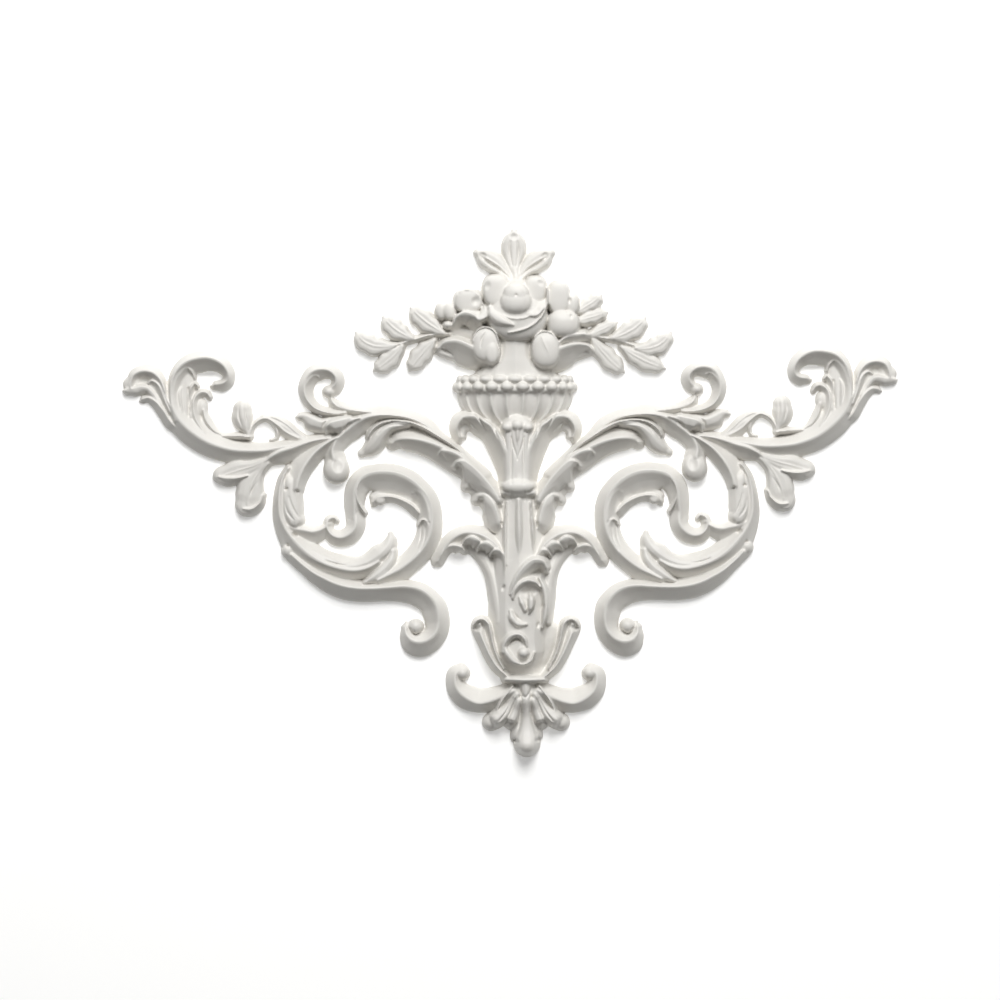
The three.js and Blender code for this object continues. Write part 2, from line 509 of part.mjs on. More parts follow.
// The sprays of leaves that reach out to both sides of the flowers
function sprays() {
  const here = inTheMiddle;
  return [
    band(here, ROOF, [[450, 334, 3, 4, 14], [430, 335, 3, 3, 12], [412, 340, 3, 3, 12],
      [388, 347, 3, 3, 11]]),
    leaf(here, [395, 345], [371, 345], [356, 332], 8.9, 10),
    leaf(here, [412, 338], [395, 329], [383.5, 316.5], 8.9, 11),
    leaf(here, [444, 333], [425, 321], [411, 307.5], 9.3, 12),
    dome(here, 447, 311, 12, 9.5, 20),
    leaf(here, [402, 346], [389, 360], [374, 370], 8.5, 10),
    leaf(here, [434, 340], [421, 355], [409, 370], 8.9, 12),
    band(here, ROOF, [[575, 336, 3, 4, 16], [598, 337, 3, 3, 13], [616, 340, 3, 3, 12],
      [640, 347, 3, 3, 11]]),
    leaf(here, [572, 314], [590, 304], [601, 295], 6.7, 16),
    leaf(here, [573, 322], [592, 317], [607, 312], 6.7, 16),
    leaf(here, [588, 336], [603, 329], [617, 322], 6.2, 12),
    leaf(here, [612, 338], [632, 330], [645, 317.5], 9.3, 11),
    leaf(here, [636, 348], [657, 346], [671, 332], 8.5, 10),
    leaf(here, [622, 347], [643, 360], [665, 368], 8.5, 10),
    leaf(here, [592, 338], [608, 358], [624, 371.5], 8.5, 12),
  ];
}

// Everything joined into one casting and cut flat at the wall
function casting() {
  const parts = [...stem(), ...urn(), ...beads(), ...flowers(), ...sprays()];
  for (const wing of [onTheLeft, onTheRight]) {
    parts.push(...outerArm(wing), ...armLeaves(wing), ...upperCurl(wing), ...mainArm(wing),
      ...handleLeaf(wing), ...bigScroll(wing), ...innerSpiral(wing), ...lowerVolute(wing),
      ...stemLeaf(wing));
  }
  for (const side of [inTheMiddle, onTheFinialsRight]) {
    parts.push(...cupPetal(side), ...finialSide(side));
  }
  const joined = parts.reduce((whole, piece) => whole.add(piece));
  const wall = new THREE.BoxGeometry(2 * ORNAMENT_WIDTH, 100, 2 * ORNAMENT_HEIGHT);
  wall.translate(0, 50, 0);
  return joined.subtract(solidOf(wall));
}

const solid = casting();
const mesh = solid.getMesh();
const geometry = new THREE.BufferGeometry();
geometry.setAttribute("position", new THREE.BufferAttribute(new Float32Array(mesh.vertProperties), 3));
geometry.setIndex(new THREE.BufferAttribute(new Uint32Array(mesh.triVerts), 1));
geometry.computeVertexNormals();

const ornament = new THREE.Group();
const applique = new THREE.Mesh(geometry,
  new THREE.MeshStandardMaterial({ color: 0xf1efea, roughness: 0.55, metalness: 0 }));
applique.name = "applique";
ornament.add(applique);

export default ornament;
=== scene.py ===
import logging
import math
from dataclasses import dataclass
from enum import Enum

import bmesh
import bpy
import numpy as np
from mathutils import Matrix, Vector


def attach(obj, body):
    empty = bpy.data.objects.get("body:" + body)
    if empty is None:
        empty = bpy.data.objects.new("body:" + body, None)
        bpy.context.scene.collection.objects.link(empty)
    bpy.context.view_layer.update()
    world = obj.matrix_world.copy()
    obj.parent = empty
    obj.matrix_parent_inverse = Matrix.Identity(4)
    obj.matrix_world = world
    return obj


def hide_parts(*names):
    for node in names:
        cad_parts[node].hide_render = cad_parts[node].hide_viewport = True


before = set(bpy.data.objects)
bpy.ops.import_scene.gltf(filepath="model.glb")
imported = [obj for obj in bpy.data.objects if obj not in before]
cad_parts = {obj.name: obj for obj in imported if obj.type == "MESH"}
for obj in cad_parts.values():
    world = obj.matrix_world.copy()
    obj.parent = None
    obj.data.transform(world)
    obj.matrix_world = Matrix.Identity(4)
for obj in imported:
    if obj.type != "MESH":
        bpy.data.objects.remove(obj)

# A wall applique ornament cast in one piece: an urn of flowers on a leafy stem between two scrolled
# acanthus wings. The carving is a height field over the flat back, built from strokes of the
# carver's drawing. On the drawing x runs to the right and y down, in millimetres at full size.

log = logging.getLogger("applique")

# How the drawing lies on the ornament
ORIGIN_X = 518.0
ORIGIN_Y = 485.0
AXIS_X = 515.0
LEAN_START_Y = 380.0
LEAN_PER_MM = 0.0332
RIGHT_WING_SPAN = 0.973
RIGHT_TIP_RISE = 7.0
RISE_REACH = 315.0
FINIAL_AXIS_X = 526.0

# The carved surface
DRAWING_LEFT, DRAWING_RIGHT = 108.0, 912.0
DRAWING_TOP, DRAWING_BOTTOM = 216.0, 772.0
CELL = 0.8
PATH_STEP = 0.7
FLANK_SLOPE = 4.0
PETAL_FLANK_SLOPE = 11.0
SOFTENING = 0.55
MOST_TRIANGLES = 186_000
BARE_WALL = -40.0
WINDOW_MARGIN = 7.0
THINNEST_CUT = 2.0
LOW_RIM_SHARE = 0.4
SHARP_ANGLE = 65.0

# The urn's turned bowl: its outline as pairs of y and radius, and below BELLY_TOP_Y its round belly
RIM_RADIUS = 61.5
BOWL_RELIEF = 32.0
URN_OUTLINE = ((371.6, 30), (372.4, 36), (374.5, 38.5), (377, 38), (378, 50), (379, 58),
               (381, 60), (383.4, 57.5), (387, 59), (390, 59.5), (391.5, 58.5), (431, 58.5))
BELLY_TOP_Y = 392
BELLY_HEIGHT = 40
FLUTES = 11
FLUTE_DEPTH = 4.0
FLUTE_TOP_Y = 391.5
FLUTE_ARCH = 9
FLUTE_END_Y = 428
BEADS = 12
LOWER_BEADS_Y = 387
UPPER_BEADS_Y = 379.4

# The photograph's view
LENS = 200.0
SENSOR = 36.0
FRAME_WIDTH = 1.0
AIM_X, AIM_Y = 500.0, 500.0
MID_RELIEF = 16.0


class Section(Enum):
    """Cross sections: places across from -1 over the crest at 0 to 1, and shares of its height."""

    ROOF = ((-1, 0.3), (-0.5, 0.64), (-0.14, 0.96), (0, 1), (0.14, 0.96), (0.5, 0.64), (1, 0.3))
    ROUND = ((-1, 0.3), (-0.85, 0.6), (-0.5, 0.9), (0, 1), (0.5, 0.9), (0.85, 0.6), (1, 0.3))
    BLADE = ((-1, 0.68), (-0.88, 0.83), (-0.5, 0.93), (-0.14, 0.9), (0, 1), (0.14, 0.9),
             (0.5, 0.93), (0.88, 0.83), (1, 0.68))
    APRON = ((-1, 0.72), (-0.35, 0.96), (0, 1), (0.3, 0.94), (1, 0.62))
    PETAL = ((-1, 0.74), (-0.82, 0.9), (-0.4, 0.99), (0, 1), (0.4, 0.99), (0.82, 0.9), (1, 0.74))


ROOF, ROUND, BLADE, APRON, PETAL = Section


@dataclass(frozen=True)
class Band:
    """A raised band: stations of x, y, width left, width right (as walked) and crest height."""

    section: Section
    stations: tuple


@dataclass(frozen=True)
class Dome:
    """A rounded knob, petal or bud; base is the height its rim stands at.

    fullness squares up its height profile, and corner squares up its outline.
    """

    x: float
    y: float
    radius_x: float
    radius_y: float
    height: float
    base: float = -1.0
    fullness: float = 2.0
    corner: float = 2.0


@dataclass(frozen=True)
class Groove:
    """A cut line: stations of x, y, half width and depth."""

    stations: tuple


@dataclass(frozen=True)
class Hollow:
    """A scooped oval, turned by an angle in degrees from +x towards +y of the drawing."""

    x: float
    y: float
    radius_x: float
    radius_y: float
    depth: float
    angle: float = 0.0


# A leaf blade's half width and height, as shares along its spine
LEAF_WIDTHS = ((0.0, 0.12, 0.3, 0.5, 0.7, 0.86, 0.95, 1.0), (0.26, 0.5, 0.86, 1.0, 0.92, 0.66, 0.4, 0.08))
LEAF_HEIGHTS = ((0, 0.5, 0.86, 1), (1.1, 1.0, 0.9, 0.55))
LEAF_WAVE = 0.09


def leaf(foot: tuple, belly: tuple, tip: tuple, width: float, height: float) -> Band:
    """A leaf blade on a bent spine.

    Args:
        foot, belly, tip: points of the spine on the drawing.
        width: half the blade's width at its belly.
        height: the midrib's height at the belly.

    Returns:
        The blade as a band with a round belly and a pointed tip.
    """
    foot, belly, tip = (np.asarray(point, float) for point in (foot, belly, tip))
    shares = np.linspace(0, 1, 15)
    outline = np.interp(shares, *LEAF_WIDTHS) * width
    left = outline * (1 + LEAF_WAVE * np.sin(6 * math.pi * shares))
    right = outline * (1 - LEAF_WAVE * np.sin(6 * math.pi * shares))
    heights = np.interp(shares, *LEAF_HEIGHTS) * height
    bend = 2 * belly - (foot + tip) / 2
    spine = (((1 - shares) ** 2)[:, None] * foot + (2 * shares * (1 - shares))[:, None] * bend
             + (shares**2)[:, None] * tip)
    return Band(BLADE, tuple(map(tuple, np.column_stack([spine, left, right, heights]))))


# The outer arm that ends in the far frond and the top volute
OUTER_ARM = (
    Band(ROOF, ((306, 441, 6, 3, 14), (285, 446, 10, 5, 16), (265, 450, 12, 7, 17),
        (248, 450.5, 13, 8, 17), (230, 449, 13, 9, 17), (210, 443, 13, 13, 17), (193, 433, 13, 16, 17),
        (180, 421, 12, 16, 17), (173, 409, 9, 14, 17), (170, 396, 3.5, 14, 16), (170.5, 384, 3, 12, 17),
        (175, 372, 4, 11, 18), (184, 362.5, 5, 13, 19), (196, 358, 5.5, 14, 20),
        (208, 357, 4.5, 15, 20), (218, 360.5, 5, 14, 19), (225, 367, 5.5, 9, 17),
        (228, 375, 5.5, 7, 15), (226, 380.5, 7, 5, 13), (221, 383, 8, 3, 12), (215, 384, 6, 3, 10))),
    Band(ROOF, ((176, 420, 8, 8, 16), (170, 404, 8, 3, 16), (165, 390, 8, 3, 15), (160, 379, 8, 4, 14),
        (152, 372, 9, 6, 14), (142, 370.5, 9, 5, 13), (134, 374, 7, 5, 12), (130.5, 381, 5, 4, 11),
        (130, 388, 5, 4.5, 10), (134, 392, 4.5, 4, 9), (141, 391, 3.5, 3, 8), (149, 389.5, 3, 3, 7))),
    Band(ROUND, ((127.5, 389, 3, 6, 9), (134, 388.5, 3, 7, 10), (141, 386.5, 3, 6, 10),
        (148, 388.5, 3, 5, 9), (154, 395, 3, 5, 9), (160, 405, 3, 6, 11))),
    Band(ROUND, ((130, 384, 8, 8, 5), (145, 382, 9, 9, 5), (160, 392, 9, 7, 7))),
    Band(ROOF, ((142, 398.5, 2.5, 4.5, 7), (149, 397.5, 2.5, 5.5, 9), (156, 402, 3, 6, 11),
        (163, 410, 4, 7, 13), (170, 421, 4, 7, 13), (180, 432, 3, 5, 8))),
    Band(ROOF, ((170, 412, 5, 3, 15), (165, 400, 7, 2.5, 14), (161.5, 390, 8, 2.5, 13),
        (157, 383, 7, 2.5, 12), (151.5, 380.5, 5, 2.5, 11), (147.5, 383, 3, 2.5, 9))),
    Band(ROOF, ((176, 410, 3, 6, 15), (173, 394, 3, 8, 15), (174.5, 381, 3, 10, 15),
        (180, 371.5, 3, 10, 15), (186.5, 367, 2.5, 7, 14.5), (191.5, 371, 2.5, 5, 12),
        (194, 378, 2, 3, 9))),
    Band(ROOF, ((186, 428, 5, 6, 14), (182, 415, 6, 6, 13), (180, 402, 6, 6, 13),
        (179.5, 392, 5, 5, 12), (181, 387, 3, 3, 10))),
    Band(ROOF, ((205, 433, 6, 4, 13), (196, 420, 6, 5, 12), (192.5, 406, 4, 6, 12),
        (194.5, 397, 3, 5, 11), (200, 392, 3, 5, 10), (206, 392.5, 3, 5, 9),
        (209.5, 397, 2.5, 3.5, 7.5))),
    Band(ROOF, ((189, 408, 3, 4, 12), (188, 397, 3, 5, 12), (190, 388, 2.5, 5, 12),
        (194, 383, 2, 4, 11), (197, 386, 2, 2.5, 9))),
    Band(ROUND, ((184, 371, 8, 8, 8), (185.5, 384, 9, 9, 9), (184, 399, 8, 8, 10),
        (188, 415, 8, 8, 11))),
    Dome(201, 407, 6, 8, 7),
    Hollow(143.5, 380, 7.5, 4.5, 5, -25),
    Groove(((188, 388, 1.5, 3), (188.5, 402, 2, 6), (188, 416, 1.5, 3))),
    Groove(((165, 384, 1, 2), (167, 395, 1.6, 5), (170, 404, 1, 2))),
)

# The small leaves, the bud and the tendril that lie along the outer arm
ARM_LEAVES = (
    Band(ROOF, ((221, 434.5, 2, 2, 8), (213, 430, 3, 4, 10), (206, 421, 3.5, 5, 11),
        (203, 410, 3, 3, 10))),
    Band(ROOF, ((250, 437, 2.5, 3, 13), (236, 436, 3, 3.5, 12), (222, 436, 2.5, 3, 9))),
    Band(ROUND, ((248, 434, 3, 3, 10), (245.5, 426, 9, 6.5, 12), (242.5, 417, 11, 9.5, 13),
        (242, 409.5, 9, 8.5, 12))),
    Groove(((239, 406, 0.8, 1.5), (238.5, 416, 1.3, 2.5), (243, 429, 0.8, 1))),
    Groove(((245, 405, 0.8, 1.5), (245.5, 416, 1.3, 2.5), (248, 430, 0.8, 1))),
    Band(ROOF, ((249, 438, 2.5, 2.5, 9), (252, 427, 2.5, 2.5, 10), (258, 420.5, 2.5, 3, 11),
        (266, 418, 2.5, 3.5, 11), (276, 424, 4, 4, 11), (286, 432, 4, 5, 11), (298, 438, 3, 4, 12))),
    Band(ROOF, ((262, 416, 1.5, 3, 8), (275, 418, 3, 3, 9), (286, 424, 4, 4, 10), (296, 432, 3, 4, 11),
        (306, 438, 2, 3, 11))),
    Band(ROUND, ((273, 421, 3, 4, 9), (283, 426, 4, 8, 10), (293, 433, 4, 9, 10),
        (303, 439, 3, 6, 11))),
    Band(ROOF, ((272, 424, 2, 2, 8), (276.5, 431, 2, 2, 8), (276, 438, 2, 2, 7),
        (270, 440, 1.5, 1.5, 6))),
    Band(ROOF, ((330, 438, 6, 4, 15), (315, 440, 8, 5, 16), (303, 443.5, 10, 6, 17),
        (292, 447.5, 12, 6, 18), (280, 451, 13, 5, 18), (271, 456, 10, 4, 17), (265, 461, 7, 3, 15))),
    Band(BLADE, ((266, 461, 4, 4, 14), (250, 467, 7, 6, 13), (237, 471, 8, 10, 12),
        (222, 476, 7.5, 8.5, 10.5))),
    Band(BLADE, ((267, 463, 3, 3, 15), (258, 473, 5, 5, 13), (252, 484, 10, 12, 13),
        (249.5, 495, 12, 13, 13), (247, 504.5, 10.5, 11, 11.5))),
    Band(ROOF, ((247, 475.5, 4, 3, 15), (238, 477.5, 6, 3, 15.5), (227, 478, 8, 3, 15),
        (218.5, 476.5, 6, 3, 12))),
    Band(ROOF, ((262.5, 495, 3, 2, 13), (259, 503, 5, 2, 15), (251, 508.5, 7, 2, 15.5),
        (243, 508.5, 5, 2, 13))),
    Groove(((257, 482, 0.9, 1), (251, 492, 1.5, 2.5), (248, 502, 0.9, 1))),
)

# The curl above the crossing, with its tail leaf and the three lobes under it
UPPER_CURL = (
    Band(ROOF, ((345, 413, 3, 5, 15), (333, 413.5, 3, 5, 15), (322, 411.5, 3, 5, 15),
        (313, 407, 4, 6, 15), (306.5, 399, 5, 7, 15), (303.5, 389, 5, 9, 15), (305.5, 379, 4.5, 10, 15),
        (311.5, 371.5, 5, 11, 16), (320, 368.5, 4.5, 12, 16), (329, 370, 5, 10, 16),
        (335, 376, 7, 6, 15), (335.5, 382, 8, 4, 14), (332, 387, 9, 3, 12), (328, 390, 7, 2.5, 10))),
    Band(ROOF, ((304, 396, 2, 6, 14.5), (305, 386, 2, 7, 14), (309, 378.5, 2, 7, 14),
        (314, 375, 2, 5, 13), (318.5, 376.5, 2, 3.5, 11))),
    Dome(328.5, 391.5, 5.8, 5.2, 13.5),
    Band(ROOF, ((330.5, 397, 2, 2.5, 9), (333.5, 403, 5, 5, 12), (342, 407.5, 5, 5, 14),
        (354, 410.5, 4, 5, 16), (372, 412, 3, 5, 17))),
    Groove(((332, 398, 0.9, 1.5), (338, 405.5, 1.2, 2.5), (352, 410, 0.9, 1))),
    Band(ROUND, ((300, 415.5, 3, 5, 10), (306, 416, 3.5, 9, 13), (313, 419, 4, 12, 15),
        (321, 422, 4, 11, 16), (332, 421, 5, 12, 16), (346, 419, 5, 12, 17))),
    Band(ROUND, ((325.5, 431, 2, 4, 15), (327.5, 425.5, 2.5, 10, 20), (332.5, 422, 2.5, 14, 22.5),
        (340, 420, 2.5, 14, 22.5), (350, 418, 3, 10, 21))),
    Groove(((343.5, 434, 1.2, 4), (345, 428, 1.6, 5), (351, 423, 1.2, 2))),
    Groove(((322.5, 430, 1.2, 3), (324, 424, 1.6, 4), (329, 420, 1.2, 2))),
    Band(ROOF, ((344, 430, 2, 3, 14), (345.5, 424.5, 2, 7, 18.5), (350.5, 420.5, 2.5, 10, 21),
        (359, 417.5, 3, 9, 21))),
)

# The main arm: its ridges, the pendant club, the hanging leaf and the lobes next to the stem
MAIN_ARM = (
    Band(ROOF, ((440, 436, 6, 4, 20), (425, 425, 6, 7, 20), (410, 418.5, 5, 7, 20),
        (395, 416, 4, 8, 20), (380, 415.5, 5, 9, 20), (368, 417, 9, 9, 19), (358, 421, 13, 8, 18),
        (350, 427, 13, 5, 17), (342, 433.5, 12, 3, 16), (335, 441, 12, 3, 15), (332, 451, 10, 6, 15),
        (334.5, 461, 11, 10, 15.5), (336, 468, 10, 10, 15.5))),
    Dome(336, 470, 13, 14, 17.5, 6),
    Hollow(338, 466, 6, 8, 3.5),
    Band(ROOF, ((502, 505, 10, 3, 20), (488, 480, 14, 4, 20), (474, 466, 17, 5, 20),
        (458, 455, 18, 7, 21), (443, 447.5, 16, 9, 23), (430, 442.5, 14, 10, 24),
        (418, 439.5, 12.5, 10, 24.5), (408, 438.5, 11.5, 10, 23.5), (399, 439.5, 10, 9, 19),
        (392.5, 443, 7, 6, 13))),
    Band(ROOF, ((470, 460, 3, 3, 22.5), (455, 447, 3, 3, 24), (440, 437.5, 3, 4, 25),
        (425, 428.5, 3, 4, 25), (412, 423, 3, 3.5, 24), (400, 421, 3, 3, 22.5), (388, 421.5, 3, 3, 22),
        (378, 425, 4, 3, 21), (371, 431, 5, 3, 19), (368, 437, 4, 2.5, 17))),
    Band(ROUND, ((408, 423, 5, 4, 21), (390, 427, 6, 6, 20), (381, 434, 8, 8, 19),
        (374, 443, 10, 8, 16), (367.5, 449, 8, 6, 12), (361.5, 453, 4.5, 4, 7))),
    Groove(((430, 430, 0.8, 1), (410, 420.5, 1.1, 2.5), (390, 419, 1.1, 2.5), (376, 421, 0.8, 1))),
    Groove(((412, 426, 0.8, 1), (398, 424.5, 1.1, 2.5), (384, 427, 1.1, 2.5), (377, 434, 0.8, 2))),
    Band(APRON, ((439, 453.5, 2, 3, 20), (442, 450.5, 2, 8, 24.5), (449, 450.5, 2.5, 9, 25.5),
        (459, 455, 3, 8, 26), (470, 463.5, 3, 8, 26.5), (484, 477, 4, 8, 27))),
    Band(APRON, ((455, 466, 3, 3, 20), (457.5, 462, 2.5, 9, 26), (463, 460.5, 2.5, 16, 28),
        (471, 465, 2.5, 17, 28), (480, 473.5, 2.5, 15, 28), (489, 484, 3, 12, 28),
        (498, 497, 4, 10, 28))),
    Band(ROUND, ((470, 486, 5, 5, 10), (479, 495, 6, 6, 12), (488, 506, 6, 6, 15))),
    Band(APRON, ((467, 486.5, 4, 4, 16), (469, 481.5, 4, 8, 19.5), (474, 478.5, 2.5, 11, 22.5),
        (480, 479.5, 3, 12, 25), (488, 486.5, 3, 10, 27), (499, 500, 4, 8, 28))),
    Band(APRON, ((477, 500, 4, 4, 16), (479.5, 496, 3.5, 8, 20), (484, 494.5, 2.5, 12, 22.5),
        (489, 497.5, 2.5, 14, 25), (495, 506, 2.5, 12, 27), (500, 521, 3, 12, 27))),
)

# The leaf that curls out from the stem like a handle under the bowl
HANDLE_LEAF = (
    Band(ROUND, ((463, 437, 3, 3, 9), (463, 429, 6, 6, 9), (469, 424, 9, 9, 9), (478, 427, 9, 9, 8),
        (487, 434, 8, 8, 7), (494, 446, 7, 7, 5))),
    Band(ROOF, ((512, 476, 12, 4, 28), (508, 458, 14, 4, 28), (500, 438, 15, 4, 28),
        (493, 427, 14, 4, 27), (484, 420.5, 15, 3, 26), (474, 415.5, 18, 3, 25), (466, 416, 16, 5, 23),
        (460, 421, 7, 8, 20), (457, 429, 5, 7, 17), (459.5, 437, 3, 6, 14))),
    Band(ROOF, ((490, 430, 2, 4, 24), (495, 429.5, 2, 6, 26), (501, 437, 2.5, 8, 28),
        (506, 446, 3, 8, 29), (511, 462, 3, 8, 29))),
    Groove(((476, 413.5, 1.6, 4), (480, 420.5, 1.6, 5), (487, 431, 1, 2))),
    Groove(((491, 420, 1.6, 4), (493.5, 427, 1.6, 5), (498, 438, 1, 2))),
    Groove(((503.5, 431, 1.4, 3), (504.5, 439, 1.4, 4), (507, 450, 1, 1))),
    Groove(((463, 419, 1, 1.5), (470, 423, 1.4, 3), (478, 431, 1, 1.5))),
)

# The big outer scroll: its upper limb, the calyx leaf, the spine and the sweep at the bottom
BIG_SCROLL = (
    Band(ROOF, ((338, 437, 5, 3, 17), (327, 442.5, 8, 4, 17), (316, 451, 9, 7, 17),
        (308.5, 460, 9, 11, 17.5), (303, 469, 8, 13, 18), (299, 479, 7, 14, 18),
        (297, 489, 6, 14, 18))),
    Band(ROUND, ((290, 484, 11, 12, 15), (291, 500, 11, 13, 16), (292, 512, 11, 12, 17),
        (295, 520, 9, 11, 17))),
    Band(ROOF, ((288, 468, 4, 3, 14), (282, 479, 6, 4, 15), (279, 492, 10, 4.5, 15),
        (278.5, 505, 12, 5.5, 15), (280, 517, 12, 7, 15), (285, 528, 9, 10, 15),
        (293, 538.5, 9, 14, 16), (302, 548, 10, 16, 17), (313, 557, 12, 14, 18),
        (326, 564, 12, 11, 18.5), (340, 568.5, 13, 10, 18.5), (354, 570.5, 13, 9, 18.5),
        (367, 568, 12, 8, 18), (378, 562, 10, 7, 17))),
    Band(ROUND, ((300, 545, 4, 8, 14), (313, 553, 5, 9, 15), (327, 560, 6, 9, 16),
        (341, 565, 5, 6, 16.5), (355, 566, 7, 8, 17), (368, 562, 8, 8, 17), (379, 555, 10, 8, 17),
        (387, 546, 6, 9, 15), (390, 538, 3.5, 6, 12), (390, 534, 2, 2.5, 9))),
    Band(ROUND, ((364, 582.5, 2, 3, 16), (371, 578.5, 4, 6, 17.5), (379, 573, 6, 9, 18),
        (386, 567, 7, 8, 17.5), (391, 560, 6, 6, 16.5), (393, 551, 4, 4, 14))),
    Groove(((326, 561, 0.9, 2), (336, 564, 1.2, 3), (346, 565, 0.9, 2))),
    Band(ROOF, ((284, 524, 4, 8, 13), (293, 528, 5, 10, 13), (303, 529.5, 5, 12, 14),
        (313, 531, 4, 12.5, 14), (322, 528.5, 3.5, 9, 13), (328, 524, 3, 5, 12))),
    Band(ROOF, ((354, 507, 7, 7, 12), (356, 522, 8.5, 11, 14.5), (354, 529, 9, 10, 15),
        (349, 534, 10, 9, 15), (342, 537.3, 9, 8, 14.5), (335, 536.5, 8.5, 7, 14),
        (329.5, 532.5, 6, 5, 13.5), (326.5, 526, 3.5, 5, 13), (328, 520, 3.5, 4, 12),
        (333, 517.5, 2.5, 4, 11), (337, 521, 2, 3, 9))),
    Groove(((289, 497, 1.2, 1), (293, 509, 1.8, 2.2), (299, 518, 1.2, 1))),
    Groove(((285, 503, 1.1, 1), (288, 513, 1.6, 2), (294, 520, 1.1, 1))),
    Groove(((287, 470, 0.9, 2), (285, 478, 1.2, 3), (285, 487, 0.9, 2))),
    Hollow(286, 489, 2.2, 2.2, 5),
    Hollow(297, 491, 2.2, 2.2, 5),
    Hollow(294.5, 535, 4, 2.5, 6, 35),
)

# The inner spiral that winds round inside the big scroll
INNER_SPIRAL = (
    Band(ROOF, ((354, 519, 8, 8, 13), (354.5, 504, 10, 9, 15), (354.5, 490, 9, 13, 16),
        (358, 481, 8, 15, 17), (365, 475, 8, 18, 18), (375, 471.5, 6, 20, 19),
        (388, 471, 6.5, 22, 19.5), (400, 473.5, 6.5, 22, 19.5), (411, 479, 7, 20, 19.5),
        (420, 486.5, 7, 18, 19), (427.5, 496, 7.5, 15, 19), (431.5, 507, 8, 14, 18.5),
        (432.5, 518, 8.5, 14, 18), (431, 530, 10, 13, 18), (427, 541, 11, 12, 17.5),
        (420.5, 551, 11, 11, 17.5), (411, 560.5, 11, 10, 18), (400, 568.5, 12, 9, 18),
        (388, 575, 9, 9, 18), (378, 580, 8, 7, 18))),
    Band(ROUND, ((374, 497, 5, 6, 5.5), (385, 490, 6, 7, 6), (398, 491, 6, 7, 6.5),
        (411, 497, 6, 8, 8))),
    Band(ROOF, ((373, 502, 3, 5, 9), (377, 497.5, 2.5, 9, 11), (384, 496, 2.5, 7, 12),
        (394, 497, 2.5, 5.5, 12), (404, 500.5, 2.5, 6, 12), (412, 505, 2.5, 7, 13),
        (418, 511, 2, 7, 13))),
    Dome(380, 500, 5, 5, 11, 8, 2.5),
    Band(ROOF, ((363, 477, 2, 4, 18), (357.5, 487, 2, 5, 18), (357, 497, 2, 5, 17.5),
        (360.5, 506, 2, 4, 16), (365, 513, 2, 3, 13))),
    Band(ROOF, ((412, 493, 2, 4, 13), (416, 490, 2.5, 9, 16), (421.5, 492.5, 2.5, 12, 18),
        (426, 499.5, 2.5, 13, 18.5), (429, 509, 2.5, 13, 18.5), (430, 520, 3, 12, 18))),
    Band(ROOF, ((418.5, 525, 2, 3, 12), (421, 520.5, 2.5, 4, 14), (425, 519.5, 2.5, 7, 16),
        (429, 525, 2.5, 10, 17), (429, 535, 3, 11, 17))),
    Groove(((421, 524, 0.8, 1.5), (421, 536, 1.2, 3), (417, 549, 0.8, 1.5))),
    Groove(((425.5, 527, 0.8, 1.5), (425, 538, 1.2, 3), (420, 551, 0.8, 1.5))),
)

# The sweep under the big scroll that ends in the lower volute
LOWER_VOLUTE = (
    Band(ROOF, ((292, 555, 5, 7, 14), (303, 565, 7, 7, 15), (315, 573.5, 7, 9, 17),
        (325, 578.5, 7, 11, 18), (335, 583, 7, 12, 19), (348, 586.5, 7, 13, 20), (363, 588, 6, 13, 20),
        (378, 587.5, 5, 13, 20), (392, 586.5, 5, 14, 20), (402, 585.5, 4, 16, 20),
        (413, 586.5, 4.5, 17, 19.5), (423, 590, 5, 18, 19), (431.5, 597, 6, 17, 19),
        (437, 606, 8, 16, 18.5), (439, 616, 9, 15, 18), (438.5, 625, 10, 13, 17),
        (435.5, 633, 11, 11, 17), (429, 639, 13, 9, 16.5), (420, 641.8, 15, 8, 16),
        (412, 640, 13, 8, 15), (406.5, 634.5, 7, 7, 13), (405, 628, 3.5, 6, 11))),
    Groove(((410, 629, 1, 3), (415.5, 635, 1.6, 4), (422, 630, 1, 3))),
    Dome(415.5, 627, 7.2, 7, 13.5),
    Dome(287.5, 550.5, 6, 7, 11.5),
    Hollow(287.5, 545.5, 2, 2, 4),
)

# The leaf that springs from the stem and leans on the scroll
STEM_LEAF = (
    Band(ROUND, ((450, 549, 4, 4, 4), (466, 547, 8, 6, 5), (480, 552, 9, 9, 8), (491, 572, 7, 7, 16),
        (497, 598, 5, 8, 20), (499, 622, 4, 6, 21))),
    Band(ROOF, ((506, 566, 8, 8, 26), (498, 547, 12, 8, 26), (486, 537, 14, 8, 25),
        (474, 532.5, 12, 6, 23), (463, 533, 11, 6, 20), (453, 538.5, 10, 7, 17), (446, 546, 8, 7, 14),
        (441, 555, 6, 6.5, 13), (438, 561, 6, 7, 10))),
    Band(ROOF, ((446, 550, 2, 4, 12), (450, 546, 2.5, 10, 16), (455.5, 544.5, 2.5, 14, 19),
        (461, 546.5, 2.5, 11, 19), (464.5, 550.5, 2, 4, 16))),
    Band(ROOF, ((462.5, 544, 2, 4, 17), (466, 538.5, 2.5, 15, 22), (472, 536, 2.5, 24, 25),
        (478.5, 539, 2.5, 19, 25), (483, 545, 2, 6, 21.5))),
    Band(ROOF, ((477.5, 548, 2, 4, 20), (481, 543.5, 2.5, 15, 25), (487, 541.5, 2.5, 23, 27.5),
        (493, 545.5, 2.5, 18, 27.5), (497.5, 552, 2, 6, 25))),
    Band(ROOF, ((490, 555, 2, 4, 23), (493.5, 550, 2.5, 12, 28), (499, 549, 2.5, 18, 30),
        (504, 555, 2.5, 10, 28.5), (507, 565, 2, 4, 28.5))),
)

